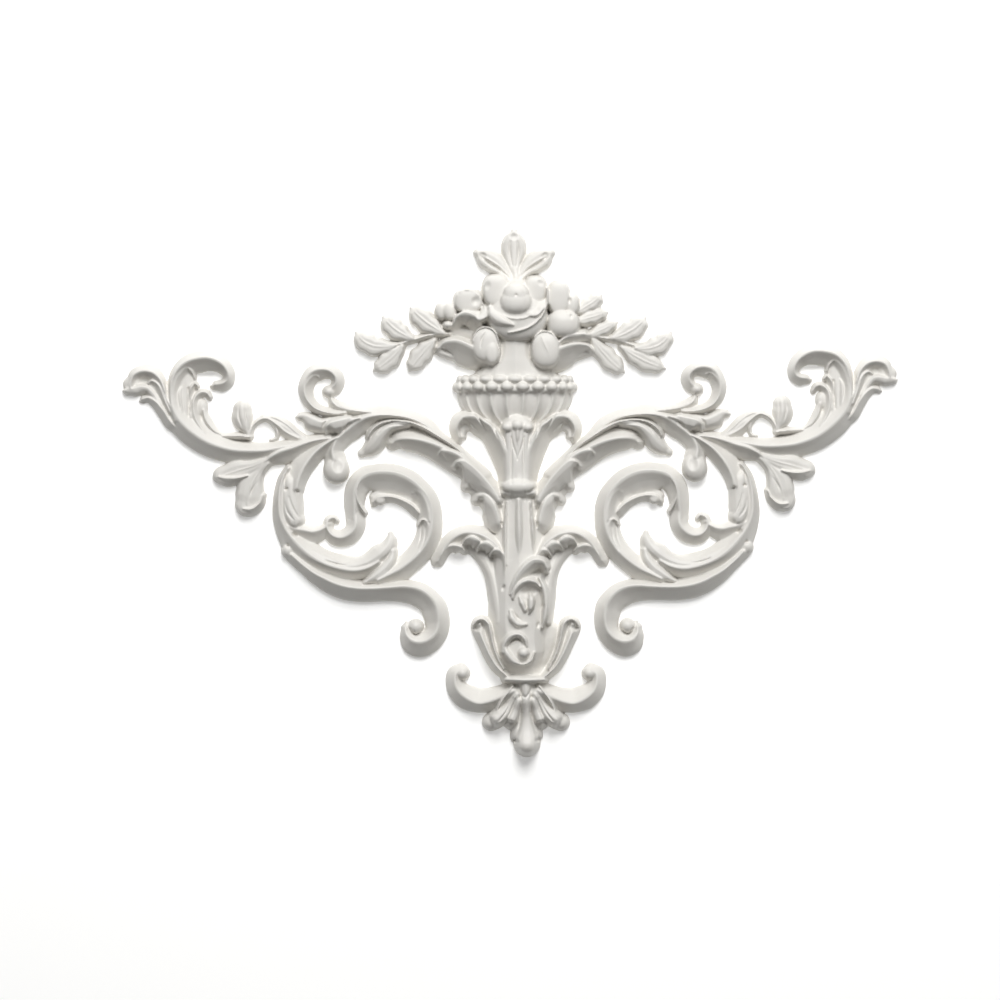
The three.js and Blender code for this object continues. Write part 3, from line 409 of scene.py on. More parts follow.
# The curled petal on each side of the cup at the foot of the stem
CUP_PETAL = (
    Band(ROOF, ((508, 677, 4, 5, 25), (497, 667, 5, 7, 25), (490, 656, 5, 8, 25), (485, 645, 5, 8, 24),
        (481, 635, 6, 9, 22), (479, 627, 7, 9, 19), (480, 623, 5, 7, 16))),
    Band(ROOF, ((473.5, 626, 2, 4, 15), (476, 621, 2, 6, 19), (482, 618.5, 2, 7, 22),
        (488, 622, 2, 8, 25), (491, 630, 2, 9, 26), (493, 642, 2, 8, 26), (497, 655, 2, 7, 26),
        (504, 669, 2, 5, 26))),
    Hollow(477.5, 628, 5.5, 4, 7, 15),
)

# One half of the finial: a scroll, and the two-lobed leaf under it
FINIAL_SIDE = (
    Band(ROOF, ((514, 690, 14, 8, 24), (500, 697, 13, 10, 21), (488, 702, 9.5, 13, 19),
        (478, 703.5, 8.5, 14, 18), (467, 698.5, 11, 13, 17), (458.5, 691, 10, 10, 16),
        (455, 682, 8.5, 8, 15), (456, 674, 8, 7, 14), (461, 670, 6, 6, 13))),
    Dome(462.5, 673.5, 6.5, 6.5, 15),
    Band(ROOF, ((513, 686, 3, 3, 26), (505, 696, 4, 4, 25), (500, 704, 4, 4, 23),
        (497, 710, 3, 3, 20))),
    Band(ROUND, ((517, 694, 6, 6, 25), (510, 706, 8, 7, 21), (501, 715.5, 9, 9, 22.5),
        (494.5, 720.5, 8.5, 8.5, 21.5), (491, 722.5, 8.5, 8.5, 12))),
    Band(ROUND, ((519, 700, 5, 5, 25), (515, 711, 7, 6, 21), (511.5, 719.5, 7.5, 7, 22.5),
        (510.5, 722.5, 7.5, 7, 13))),
    Groove(((513, 698, 0.9, 2), (507, 710, 1.3, 3), (499, 721, 0.9, 2))),
    Groove(((515, 699, 0.9, 2), (511, 711, 1.3, 3), (506, 724, 0.9, 2))),
)

# The stem from the urn down to the ring over the finial, its collar and the finial's middle leaf
STEM = (
    Band(ROUND, ((517, 426, 15, 15, 28), (517, 450, 18, 17, 27), (517.5, 480, 16, 16, 26),
        (518, 500, 19, 19, 27), (518, 530, 26, 24, 27), (519, 560, 29, 27, 28), (520, 590, 30, 29, 28),
        (520, 620, 30, 30, 28), (521, 640, 27, 27, 28), (522, 654, 25, 25, 28),
        (523.5, 663, 21, 21, 25), (524.5, 670, 18, 18, 19), (525, 676, 17, 17, 16),
        (525.5, 690, 14, 14, 22))),
    Band(ROUND, ((521, 622, 29, 29, 19), (522, 632, 38, 38, 18), (523, 645, 35, 35, 19),
        (524, 658, 28, 28, 18), (524, 668, 22, 22, 15))),
    Band(PETAL, ((517.5, 430, 15, 15, 31), (517.5, 450, 14.5, 14.5, 31.5),
        (517.5, 484, 13.5, 13.5, 31))),
    Groove(((511.5, 432, 1, 1.5), (511.5, 455, 1.6, 3), (511.5, 484, 1, 1.5))),
    Groove(((523.5, 432, 1, 1.5), (523.5, 455, 1.6, 3), (523.5, 484, 1, 1.5))),
    Dome(507.5, 427.5, 5.5, 5, 34, 28),
    Dome(517.5, 425.5, 6.5, 6, 36, 28),
    Dome(527.5, 427.5, 5.5, 5, 34, 28),
    Band(ROUND, ((517.5, 428, 5, 5, 34), (517.5, 437, 4, 4, 35), (517.5, 446, 1.2, 1.2, 33))),
    Groove(((511, 437, 0.9, 2), (514, 449, 1.2, 3), (517.5, 460, 0.9, 1))),
    Groove(((524, 437, 0.9, 2), (521, 449, 1.2, 3), (517.5, 460, 0.9, 1))),
    Hollow(508, 432, 1.6, 1.6, 2),
    Hollow(526.5, 432, 1.6, 1.6, 2),
    Band(ROUND, ((504, 492.5, 5, 5.5, 28), (510, 493.5, 5, 6, 31), (518, 494, 5, 6, 32),
        (526, 493.5, 5, 6, 31), (533, 492.5, 5, 5.5, 28))),
    Dome(518, 486.5, 15.5, 7.5, 37, 29),
    Groove(((511.5, 491, 0.9, 1.5), (511.5, 496, 1.2, 2), (511.5, 501, 0.9, 1.5))),
    Groove(((524.5, 491, 0.9, 1.5), (524.5, 496, 1.2, 2), (524.5, 501, 0.9, 1.5))),
    Band(ROUND, ((518.5, 500, 5, 5, 31), (519, 530, 6, 6, 33), (519, 568, 4, 4, 27))),
    Band(ROUND, ((507, 502, 2, 2, 28), (505, 530, 3, 3, 30), (505, 560, 3, 3, 29.5),
        (504, 584, 2, 2, 25))),
    Band(ROUND, ((530, 502, 2, 2, 28), (532.5, 530, 3, 3, 30), (533, 560, 2, 2, 26))),
    Band(APRON, ((510.5, 594, 2.5, 4, 30), (513.5, 583, 3, 9, 33.5), (519, 572.5, 3, 12, 36),
        (526, 564, 3, 13, 37), (534.5, 559, 3, 13, 37), (542.5, 560.5, 3, 12, 36),
        (546.5, 567, 2, 6, 33))),
    Hollow(536, 572, 9, 4, 6, -20),
    Band(APRON, ((512.5, 598, 2, 4, 31), (515.5, 588.5, 3, 7, 33.5), (521, 582.5, 3, 8, 35.5),
        (528, 580, 3, 8, 36), (535, 581.5, 2.5, 7, 34.5), (539.5, 586.5, 2, 3, 31.5))),
    Hollow(529, 591.5, 10, 4.5, 5, -8),
    Band(PETAL, ((530, 593.5, 2, 2, 31), (531, 600, 4, 4, 34), (530.5, 607, 3.5, 3.5, 34),
        (529, 613, 1, 1, 31))),
    Band(PETAL, ((519.5, 597, 2, 2, 30.5), (522, 603, 3.5, 3, 33), (525, 610, 2.5, 2.5, 32))),
    Band(PETAL, ((539.5, 578, 1.5, 2, 31), (544.5, 590, 3, 3.5, 32), (546, 603, 3, 3.5, 32),
        (545, 616, 2.5, 3, 31), (542, 628, 1, 1, 29))),
    Band(PETAL, ((510.5, 611, 2, 2, 30.5), (512.5, 618, 3.5, 4, 33), (518, 623.5, 3.5, 4, 33),
        (526, 624, 1.5, 2, 31))),
    Groove(((514, 611, 0.9, 1), (516, 616, 1.5, 3), (521, 619.5, 0.9, 1))),
    Band(APRON, ((502.5, 652, 2, 4, 30.5), (505, 642, 3, 7, 33), (511, 635, 3, 8, 35.5),
        (518.5, 633.5, 3, 8, 35.5), (524.5, 638, 2.5, 7, 34.5), (526.5, 646, 2, 3, 32))),
    Groove(((508, 646, 1, 1), (512.5, 640, 1.8, 4), (519, 639, 1.8, 4), (521.5, 646, 1, 1))),
    Dome(523.5, 652.5, 5.5, 5.5, 36, 28),
    Band(PETAL, ((504.5, 646, 2, 2, 30.5), (508, 654, 3.5, 4, 33), (514, 661, 3.5, 3.5, 32.5),
        (521, 664, 1.5, 1.5, 30.5))),
    Band(ROUND, ((516, 662.5, 2, 2, 30.5), (524, 664, 2.5, 2.5, 31.5), (531, 660, 2.5, 2.5, 31.5),
        (534.5, 652, 2, 2, 30))),
    Hollow(503.5, 588, 2, 4, 3.5, 15),
    Hollow(543, 606, 2, 4, 3.5),
    Hollow(538, 625, 1.6, 4, 3, 10),
    Band(ROUND, ((506.5, 679, 4, 4.5, 26), (516, 679.3, 4.5, 5, 30.5), (525, 679.5, 4.5, 5, 32),
        (534, 679.3, 4.5, 5, 30.5), (543.5, 679, 4, 4.5, 26))),
    Band(ROUND, ((525.5, 685, 8, 8, 27), (526, 700, 7, 7, 27), (526, 712, 7, 7, 21),
        (526.5, 724, 11, 11, 17), (526.5, 734, 15.5, 15.5, 16), (526.5, 740, 15, 15, 14),
        (527, 745, 10, 10, 12))),
    Dome(527, 742, 13.5, 15.5, 17, 3, 2.4),
    Band(PETAL, ((526.5, 706, 3, 3, 23), (527, 718, 4.5, 4.5, 20), (527, 730, 7.5, 7.5, 21.5),
        (527, 739, 9.5, 9.5, 25), (527, 744.5, 8.5, 8.5, 27))),
    Groove(((519, 687, 1, 2), (525, 697, 1.4, 3), (532, 687, 1, 2))),
    Hollow(515.5, 741, 4, 2.6, 7, 10),
    Hollow(538, 740, 4, 2.6, 7, -10),
    Groove(((522, 712, 0.9, 2), (520, 724, 1.3, 3), (517, 734, 0.9, 2))),
    Groove(((531, 712, 0.9, 2), (533, 724, 1.3, 3), (536, 734, 0.9, 2))),
)

# The flowers over the urn: the rose with its bud, the side blooms and the two turned-out bowls
FLOWERS = (
    Band(ROUND, ((515, 325, 18, 18, 26), (515, 348, 19, 19, 27), (515, 356, 21, 21, 27.5),
        (515, 362, 26, 25, 28), (515, 367, 32.5, 31.5, 28), (515, 372, 39, 38, 28),
        (515, 379, 42, 41, 28))),
    Groove(((527, 343, 1, 1.5), (530, 356, 1.4, 3), (533, 368, 1, 1.5))),
    Band(ROOF, ((438, 348, 3, 6, 15), (446, 341.5, 4, 17, 22), (457, 340, 4, 21, 26),
        (468, 344, 4, 22, 28), (479, 350, 4, 20, 29), (488, 354, 4, 14, 28))),
    Band(ROUND, ((440, 351.5, 4, 4, 10), (447, 354.5, 4, 4, 10), (457, 357.5, 4, 4, 10.5),
        (468, 361, 5, 5, 11), (476, 365, 5, 5, 12))),
    Dome(486, 344.8, 13.2, 16.8, 32, 25.5, 2.8, 2.3),
    Dome(492, 353, 7, 11, 33.5, 29.5, 3.0),
    Band(ROOF, ((472, 343, 1.5, 2.5, 31), (474.5, 334.5, 1.5, 2.5, 33.5),
        (480.5, 328.5, 1.5, 2.5, 34.5), (488, 327.5, 1.5, 2.5, 35), (494.5, 332, 1.5, 2.5, 35.5),
        (498.5, 341, 1.5, 2.5, 36), (500, 352, 1.5, 2, 34.5), (498, 362, 1.5, 2, 31))),
    Groove(((487, 332, 0.9, 1), (482, 339, 1.3, 2.5), (481, 348, 0.9, 1))),
    Band(ROOF, ((554, 351, 3, 20, 31), (565, 345.5, 3, 20, 29), (577, 343.5, 3, 15, 25.5),
        (587, 345, 3, 10, 21), (592, 349, 3, 6, 17))),
    Band(ROUND, ((558, 365, 5, 5, 12), (568, 359.5, 4, 4, 11), (579, 355.5, 4, 4, 10),
        (589, 352.5, 3.5, 3.5, 9))),
    Dome(545.3, 349.8, 14, 17.8, 35.3, 28, 2.8, 2.3),
    Band(ROOF, ((531.5, 358, 1.5, 2.5, 31), (532.5, 346, 1.5, 2.5, 34), (537, 335.5, 1.5, 2.5, 36),
        (543.5, 331.5, 1.5, 2.5, 37), (551, 333.5, 1.5, 2.5, 36.5), (557.5, 341, 1.5, 2.5, 34),
        (561, 348, 1.5, 2, 31))),
    Band(ROOF, ((541, 336.5, 1.2, 1.6, 36.5), (545, 346, 1.4, 2, 38), (550, 356.5, 1.2, 1.6, 36.5))),
    Dome(518, 317.5, 29, 23.5, 38.5, 26, 2.4, 2.1),
    Dome(496, 291, 12.5, 15, 32, 27.5, 4.0, 2.7),
    Dome(535.5, 290.5, 10, 13, 32, 27.5, 4.0, 2.7),
    Dome(516, 290, 14, 9, 28, 24, 3.0, 2.6),
    Hollow(487.5, 286.5, 3.5, 5, 1.8, 20),
    Hollow(541, 283.5, 4.5, 3.5, 1.8, 30),
    Band(PETAL, ((490, 308, 3, 3, 33), (492.5, 313.5, 5, 6, 37), (498.5, 319, 6, 7, 41),
        (506, 323, 5, 5, 42), (513, 325.5, 2, 2, 41))),
    Band(ROUND, ((547, 288, 1.5, 2, 34), (547.5, 299, 1.5, 2.5, 36), (545, 311, 1.5, 3, 38),
        (539, 320.5, 1.5, 3.5, 40), (529, 328, 1.5, 4, 41), (519, 331.5, 1.5, 4, 41),
        (509, 333.5, 1.5, 3, 39.5))),
    Band(APRON, ((531, 317, 10, 1.5, 40.5), (537, 316.5, 13, 1.5, 40.5), (542, 312, 12, 1.5, 39))),
    Band(ROUND, ((502, 314.5, 1.5, 2, 39), (508, 318, 1.5, 3, 41), (517, 319.5, 1.5, 3.5, 41.5),
        (526, 318, 1.5, 3, 41.5), (532.5, 314, 1.5, 2, 40.5))),
    Dome(516, 303, 15.5, 12.5, 45.5, 33, 2.6, 2.3),
    Dome(516, 296, 12.5, 12.5, 45, 34, 2.6, 2.1),
    Hollow(516, 296, 1.6, 1.6, 2.5),
    Dome(468.5, 301, 13.5, 11.5, 27.5, 23.5, 3.2, 2.6),
    Hollow(475.5, 301.5, 4.5, 5.5, 3, 20),
    Band(ROOF, ((455.5, 307, 1.2, 1.8, 26), (456, 297.5, 1.2, 1.8, 27.5),
        (461.5, 291.5, 1.2, 1.8, 28.5), (469.5, 290.5, 1.2, 1.8, 28.5), (477, 294.5, 1.2, 1.8, 28.5),
        (482, 302, 1.2, 1.8, 29), (485, 311, 1.2, 1.8, 29.5))),
    Band(APRON, ((473, 317, 8, 2, 30), (480, 320.5, 11, 2, 32), (487.5, 317, 12, 2, 31.5))),
    Band(ROOF, ((453.5, 322, 2, 9, 25), (457.5, 315.5, 2, 18, 30), (465, 312, 2, 24, 33),
        (473, 314, 2, 21, 33), (479, 320, 2, 12, 31.5))),
    Dome(448, 325, 5.5, 4.5, 21),
    Band(ROUND, ((456, 331, 7, 7, 9), (469, 333, 7, 7, 10), (480, 336, 7, 7, 12))),
    Dome(558.5, 298, 10.5, 15.5, 30, 26, 3.2, 2.4),
    Dome(572, 304.5, 6.5, 10, 28, 23, 2.6, 2.3),
    Hollow(569.5, 301, 2, 3.5, 3),
    Dome(563, 324, 15.5, 13.5, 36, 25, 2.4, 2.5),
    Hollow(571, 317, 2, 3, 3),
    Band(APRON, ((560, 341.5, 2, 5, 29), (566, 337, 2, 7, 31), (575, 334.5, 2, 8, 30),
        (584, 333.5, 2, 7, 25))),
    Band(ROOF, ((517, 292, 8, 8, 24), (516, 272, 5, 5, 14), (515, 258, 4, 4, 11))),
    Band(PETAL, ((517, 288, 7, 7, 18), (516, 276, 3.5, 3.5, 15), (514.5, 266, 6, 5.5, 13.5),
        (514, 257, 9.5, 9, 13), (514, 249, 11, 10.5, 13), (514, 241, 10, 9.5, 13),
        (514, 236, 7.5, 7, 12.5), (514, 232.5, 4, 4, 12), (514, 231, 1.5, 1.5, 11.5))),
    Hollow(514, 236.5, 5, 4, 2),
    Groove(((510.5, 241, 1.2, 1.5), (509.5, 251, 2, 3), (512.5, 266, 1.2, 2))),
    Groove(((517.5, 241, 1.2, 1.5), (518.5, 251, 2, 3), (516.5, 266, 1.2, 2))),
    Band(BLADE, ((511, 279, 4, 4, 15), (503, 270, 6, 6.5, 14.5), (494.5, 263, 9, 9.5, 14),
        (486.5, 258, 9, 9, 13.5), (481, 254.5, 6.5, 6, 13), (477.8, 252.5, 3, 3, 12))),
    Hollow(482.5, 255.5, 4.5, 4, 3, 35),
    Groove(((482, 258, 1.5, 2.5), (490, 263.5, 2.4, 4.5), (499, 269, 2.2, 4), (508, 277, 1, 1))),
    Band(BLADE, ((518, 281, 4, 4, 15), (525.5, 270, 6.5, 6, 14.5), (534, 263, 9.5, 9, 14),
        (542, 258, 9, 9, 13.5), (547.5, 254.5, 6, 6.5, 13), (550.5, 252.5, 3, 3, 12))),
    Hollow(545.5, 255.5, 4.5, 4, 3, -35),
    Groove(((546, 258, 1.5, 2.5), (538, 263.5, 2.4, 4.5), (529, 269, 2.2, 4), (520, 277, 1, 1))),
)

# The sprays of leaves that reach out to both sides of the flowers
SPRAYS = (
    Band(ROOF, ((450, 334, 3, 4, 14), (430, 335, 3, 3, 12), (412, 340, 3, 3, 12),
        (388, 347, 3, 3, 11))),
    leaf((395, 345), (371, 345), (356, 332), 8.9, 12),
    leaf((412, 338), (395, 329), (383.5, 316.5), 8.9, 13),
    leaf((444, 333), (425, 321), (411, 307.5), 9.3, 14),
    Dome(441.5, 311, 6.5, 8.5, 17, 12, 2.5),
    Dome(450, 311, 7.5, 9, 20, 14, 2.5),
    leaf((402, 346), (389, 360), (374, 370), 8.5, 12),
    leaf((434, 340), (421, 355), (409, 370), 8.9, 12),
    Band(ROOF, ((575, 336, 3, 4, 16), (598, 337, 3, 3, 13), (616, 340, 3, 3, 12),
        (640, 347, 3, 3, 11))),
    leaf((572, 314), (590, 304), (601, 295), 6.7, 16),
    leaf((573, 322), (592, 317), (607, 312), 6.7, 16),
    leaf((588, 336), (603, 329), (617, 322), 6.2, 14),
    leaf((612, 338), (632, 330), (645, 317.5), 9.3, 13),
    leaf((636, 348), (657, 346), (671, 332), 8.5, 12),
    leaf((622, 347), (643, 360), (665, 368), 8.5, 12),
    leaf((592, 338), (608, 358), (624, 371.5), 8.5, 12),
)


class Placement(Enum):
    """Where a group of strokes lies: as drawn, or mirrored to the right wing or finial."""

    AS_DRAWN = "as drawn"
    RIGHT_WING = "right wing"
    RIGHT_OF_FINIAL = "right of the finial"

    @staticmethod
    def axis(y: np.ndarray) -> np.ndarray:
        """The ornament's middle line, which leans a little to the right below the urn."""
        return AXIS_X + LEAN_PER_MM * np.maximum(0.0, y - LEAN_START_Y)

    def forward(self, x: np.ndarray, y: np.ndarray) -> tuple:
        """Points of a stroke moved to where they show on the ornament."""
        if self is Placement.AS_DRAWN:
            return x, y
        if self is Placement.RIGHT_OF_FINIAL:
            return 2 * FINIAL_AXIS_X - x, y
        reach = self.axis(y) - x
        return self.axis(y) + RIGHT_WING_SPAN * reach, y - RIGHT_TIP_RISE * (reach / RISE_REACH) ** 2

    def backward(self, x: np.ndarray, y: np.ndarray) -> tuple:
        """Points of the ornament moved back to where the stroke was drawn."""
        if self is Placement.AS_DRAWN:
            return x, y
        if self is Placement.RIGHT_OF_FINIAL:
            return 2 * FINIAL_AXIS_X - x, y
        row = y
        for _ in range(3):
            reach = (x - self.axis(row)) / RIGHT_WING_SPAN
            row = y + RIGHT_TIP_RISE * (reach / RISE_REACH) ** 2
        return self.axis(row) - (x - self.axis(row)) / RIGHT_WING_SPAN, row


class Path:
    """A smooth line through stations, sampled densely, with sizes that go along with it."""

    def __init__(self, stations: tuple) -> None:
        """Samples a centripetal spline through the stations.

        Args:
            stations: rows of x, y and any further sizes.
        """
        rows = np.asarray(stations, float)
        if len(rows) == 2:
            rows = np.vstack([rows[0], rows.mean(axis=0), rows[1]])
        gaps = np.hypot(*np.diff(rows[:, :2], axis=0).T)
        knots = np.sqrt(np.maximum(gaps, 1e-6))[:, None]
        slopes = np.diff(rows, axis=0) / knots
        tangents = np.zeros_like(rows)
        tangents[1:-1] = ((slopes[:-1] * knots[1:] + slopes[1:] * knots[:-1])
                          / (knots[:-1] + knots[1:]))
        tangents[0] = 1.5 * slopes[0] - 0.5 * tangents[1]
        tangents[-1] = 1.5 * slopes[-1] - 0.5 * tangents[-2]
        level = np.zeros_like(tangents[:, 2:])
        level[1:-1] = np.where(slopes[:-1, 2:] * slopes[1:, 2:] > 0, tangents[1:-1, 2:], 0)
        tangents[:, 2:] = level
        runs = []
        for k, gap in enumerate(gaps):
            u = np.linspace(0, 1, max(2, math.ceil(gap / PATH_STEP)), endpoint=False)[:, None]
            # a cubic from one station to the next that keeps their tangents
            runs.append((2 * u**3 - 3 * u**2 + 1) * rows[k]
                        + (u**3 - 2 * u**2 + u) * knots[k] * tangents[k]
                        + (3 * u**2 - 2 * u**3) * rows[k + 1]
                        + (u**3 - u**2) * knots[k] * tangents[k + 1])
        self.rows = np.vstack([*runs, rows[-1:]])
        steps = np.diff(self.rows[:, :2], axis=0)
        self.lengths = np.concatenate([[0.0], np.cumsum(np.hypot(*steps.T))])
        ahead = np.gradient(self.rows[:, :2], axis=0)
        self.ahead = ahead / np.maximum(np.hypot(*ahead.T), 1e-9)[:, None]

    def locate(self, x: np.ndarray, y: np.ndarray) -> tuple:
        """Where points lie beside the path.

        Args:
            x, y: points of the drawing.

        Returns:
            The length along the path to the nearest place, and the distance from it, which is
            negative on the left and positive on the right as walked.
        """
        line = self.rows[:, :2].astype(np.float32)
        points = np.column_stack([x.ravel(), y.ravel()]).astype(np.float32)
        half = (line**2).sum(axis=1) / 2
        near = (half - points @ line.T).argmin(axis=1).reshape(x.shape)
        dx = x - self.rows[near, 0]
        dy = y - self.rows[near, 1]
        along = self.lengths[near] + dx * self.ahead[near, 0] + dy * self.ahead[near, 1]
        side = dy * self.ahead[near, 0] - dx * self.ahead[near, 1]
        past = np.maximum(0, -along) + np.maximum(0, along - self.lengths[-1])
        reach = np.where(side < 0, -1.0, 1.0) * np.hypot(side, past)
        return np.clip(along, 0, self.lengths[-1]), reach

    def along(self, length: np.ndarray, column: int) -> np.ndarray:
        """A size of the stations at lengths along the path."""
        return np.interp(length, self.lengths, self.rows[:, column])


class ReliefField:
    """Heights of the carved face over the wall plane, on a regular grid of the drawing."""

    def __init__(self) -> None:
        """Starts with bare wall everywhere."""
        self.across = np.arange(DRAWING_LEFT, DRAWING_RIGHT, CELL)
        self.down = np.arange(DRAWING_TOP, DRAWING_BOTTOM, CELL)
        self.heights = np.full((self.down.size, self.across.size), BARE_WALL)

    def _window(self, placement: Placement, xs: np.ndarray, ys: np.ndarray, margin: float) -> tuple:
        """The part of the grid that a stroke can reach, and its points as drawn."""
        corners_x = np.array([xs.min() - margin, xs.max() + margin] * 2)
        corners_y = np.repeat([ys.min() - margin, ys.max() + margin], 2)
        placed_x, placed_y = placement.forward(corners_x, corners_y)
        columns = slice(*np.searchsorted(self.across, [placed_x.min(), placed_x.max()]))
        rows = slice(*np.searchsorted(self.down, [placed_y.min(), placed_y.max()]))
        grid = np.meshgrid(self.across[columns], self.down[rows])
        return (rows, columns), *placement.backward(*grid)

    def _raise(self, window: tuple, heights: np.ndarray) -> None:
        """Keeps whichever is higher, the field or the new form."""
        self.heights[window] = np.maximum(self.heights[window], heights)

    def _cut(self, window: tuple, depths: np.ndarray) -> None:
        """Takes carved depths off the field, never down to the wall."""
        field = self.heights[window]
        floor = np.minimum(field, THINNEST_CUT)
        self.heights[window] = np.where(field > 0, np.maximum(field - depths, floor), field)

    def add_band(self, placement: Placement, band: Band) -> None:
        """A ridge along a path: its section across, and a steep flank beyond its edges."""
        path = Path(band.stations)
        widest = path.rows[:, 2:4].max()
        window, x, y = self._window(placement, path.rows[:, 0], path.rows[:, 1], widest + WINDOW_MARGIN)
        length, reach = path.locate(x, y)
        width = np.where(reach < 0, path.along(length, 2), path.along(length, 3))
        place = reach / np.maximum(width, 1e-3)
        across, shares = zip(*band.section.value)
        carved = path.along(length, 4) * np.interp(place, across, shares)
        beyond = np.maximum(np.abs(place) - 1, 0) * width
        self._raise(window, carved - beyond * FLANK_SLOPE)

    def add_dome(self, placement: Placement, dome: Dome) -> None:
        """Half an ellipsoid on its base height, with a steep flank round it."""
        xs = np.array([dome.x - dome.radius_x, dome.x + dome.radius_x])
        ys = np.array([dome.y - dome.radius_y, dome.y + dome.radius_y])
        window, x, y = self._window(placement, xs, ys, WINDOW_MARGIN)
        share = (np.abs((x - dome.x) / dome.radius_x) ** dome.corner
                 + np.abs((y - dome.y) / dome.radius_y) ** dome.corner) ** (1 / dome.corner)
        base = dome.height * LOW_RIM_SHARE if dome.base < 0 else dome.base
        cap = base + (dome.height - base) * np.sqrt(np.maximum(0, 1 - share**dome.fullness))
        beyond = np.maximum(share - 1, 0) * min(dome.radius_x, dome.radius_y)
        self._raise(window, cap - beyond * (FLANK_SLOPE if dome.base < 0 else PETAL_FLANK_SLOPE))

    def cut_groove(self, placement: Placement, groove: Groove) -> None:
        """A soft V along a path."""
        path = Path(groove.stations)
        widest = path.rows[:, 2].max()
        window, x, y = self._window(placement, path.rows[:, 0], path.rows[:, 1], widest + 1)
        length, reach = path.locate(x, y)
        share = np.clip(np.abs(reach) / path.along(length, 2), 0, 1)
        self._cut(window, path.along(length, 3) * (1 - share**2) ** 2)

    def cut_hollow(self, placement: Placement, hollow: Hollow) -> None:
        """A scooped oval, deepest in its middle."""
        widest = max(hollow.radius_x, hollow.radius_y)
        xs = np.array([hollow.x - widest, hollow.x + widest])
        ys = np.array([hollow.y - widest, hollow.y + widest])
        window, x, y = self._window(placement, xs, ys, 1)
        turn = math.radians(hollow.angle)
        dx, dy = x - hollow.x, y - hollow.y
        share = np.hypot((dx * math.cos(turn) + dy * math.sin(turn)) / hollow.radius_x,
                         (dy * math.cos(turn) - dx * math.sin(turn)) / hollow.radius_y)
        self._cut(window, hollow.depth * np.clip(1 - share**2, 0, 1) ** 1.5)

    def add_strokes(self, placement: Placement, strokes: tuple) -> None:
        """Raises a group's bands and domes, then makes its cuts."""
        for stroke in strokes:
            if isinstance(stroke, Band):
                self.add_band(placement, stroke)
            elif isinstance(stroke, Dome):
                self.add_dome(placement, stroke)
        for stroke in strokes:
            if isinstance(stroke, Groove):
                self.cut_groove(placement, stroke)
            elif isinstance(stroke, Hollow):
                self.cut_hollow(placement, stroke)

    def add_urn(self) -> None:
        """A turned bowl flattened towards the wall, with a fluted side and a beaded rim."""
        outline = np.array(URN_OUTLINE)
        xs = np.array([AXIS_X - RIM_RADIUS, AXIS_X + RIM_RADIUS])
        window, x, y = self._window(Placement.AS_DRAWN, xs, outline[[0, -1], 0], 3)
        below = np.clip((y - BELLY_TOP_Y) / BELLY_HEIGHT, 0, 0.98)
        radius = np.interp(y, outline[:, 0], outline[:, 1]) * (1 - below**2.6) ** 0.72
        off = x - AXIS_X
        # half an ellipse over the wall: relief times the root of one less the squared share of the radius
        share = np.minimum(np.abs(off) / radius, 1)
        bowl = BOWL_RELIEF * radius / RIM_RADIUS * np.sqrt(1 - share**2)
        bowl -= np.maximum(np.abs(off) - radius, 0) * FLANK_SLOPE
        bowl -= (np.maximum(outline[0, 0] - y, 0) + np.maximum(y - outline[-1, 0], 0)) * FLANK_SLOPE
        turn = np.arcsin(np.clip(off / radius, -1, 1)) / (math.pi / FLUTES)
        within = turn - np.round(turn)
        # each flute starts under an arch and runs out above the foot
        begin = FLUTE_TOP_Y + FLUTE_ARCH * within**2
        run = np.clip((y - begin) / 2.2, 0, 1) * np.clip((FLUTE_END_Y - y) / 6, 0, 1)
        bowl -= FLUTE_DEPTH * run * (1 - np.abs(2 * within) ** 3)
        self._raise(window, bowl)
        for k in range(BEADS):
            angle = math.pi * (k + 0.5) / BEADS
            x_bead = AXIS_X - (RIM_RADIUS - 1.5) * math.cos(angle)
            wide = 6.4 * (0.45 + 0.55 * math.sin(angle))
            top = BOWL_RELIEF * math.sin(angle) + 5.0
            self.add_dome(Placement.AS_DRAWN, Dome(x_bead, LOWER_BEADS_Y, wide, 4.6, top, top - 5.5))
        for k in range(BEADS - 1):
            angle = math.pi * (k + 1) / BEADS
            x_bead = AXIS_X - (RIM_RADIUS - 4) * math.cos(angle)
            wide = 6.2 * math.sin(angle) + 0.9
            top = (BOWL_RELIEF - 2) * math.sin(angle) + 4.5
            self.add_dome(Placement.AS_DRAWN, Dome(x_bead, UPPER_BEADS_Y, wide, 3.6, top, top - 4))

    def soften(self) -> None:
        """Rounds every edge a little, as the mould and the paint do."""
        sigma = SOFTENING / CELL
        reach = max(1, math.ceil(3 * sigma))
        weights = np.exp(-0.5 * (np.arange(-reach, reach + 1) / sigma) ** 2)
        weights /= weights.sum()
        for axis in (0, 1):
            padded = np.pad(self.heights, [(reach, reach) if a == axis else (0, 0) for a in (0, 1)],
                            mode="edge")
            count = self.heights.shape[axis]
            self.heights = sum(weight * np.take(padded, np.arange(k, k + count), axis=axis)
                               for k, weight in enumerate(weights))


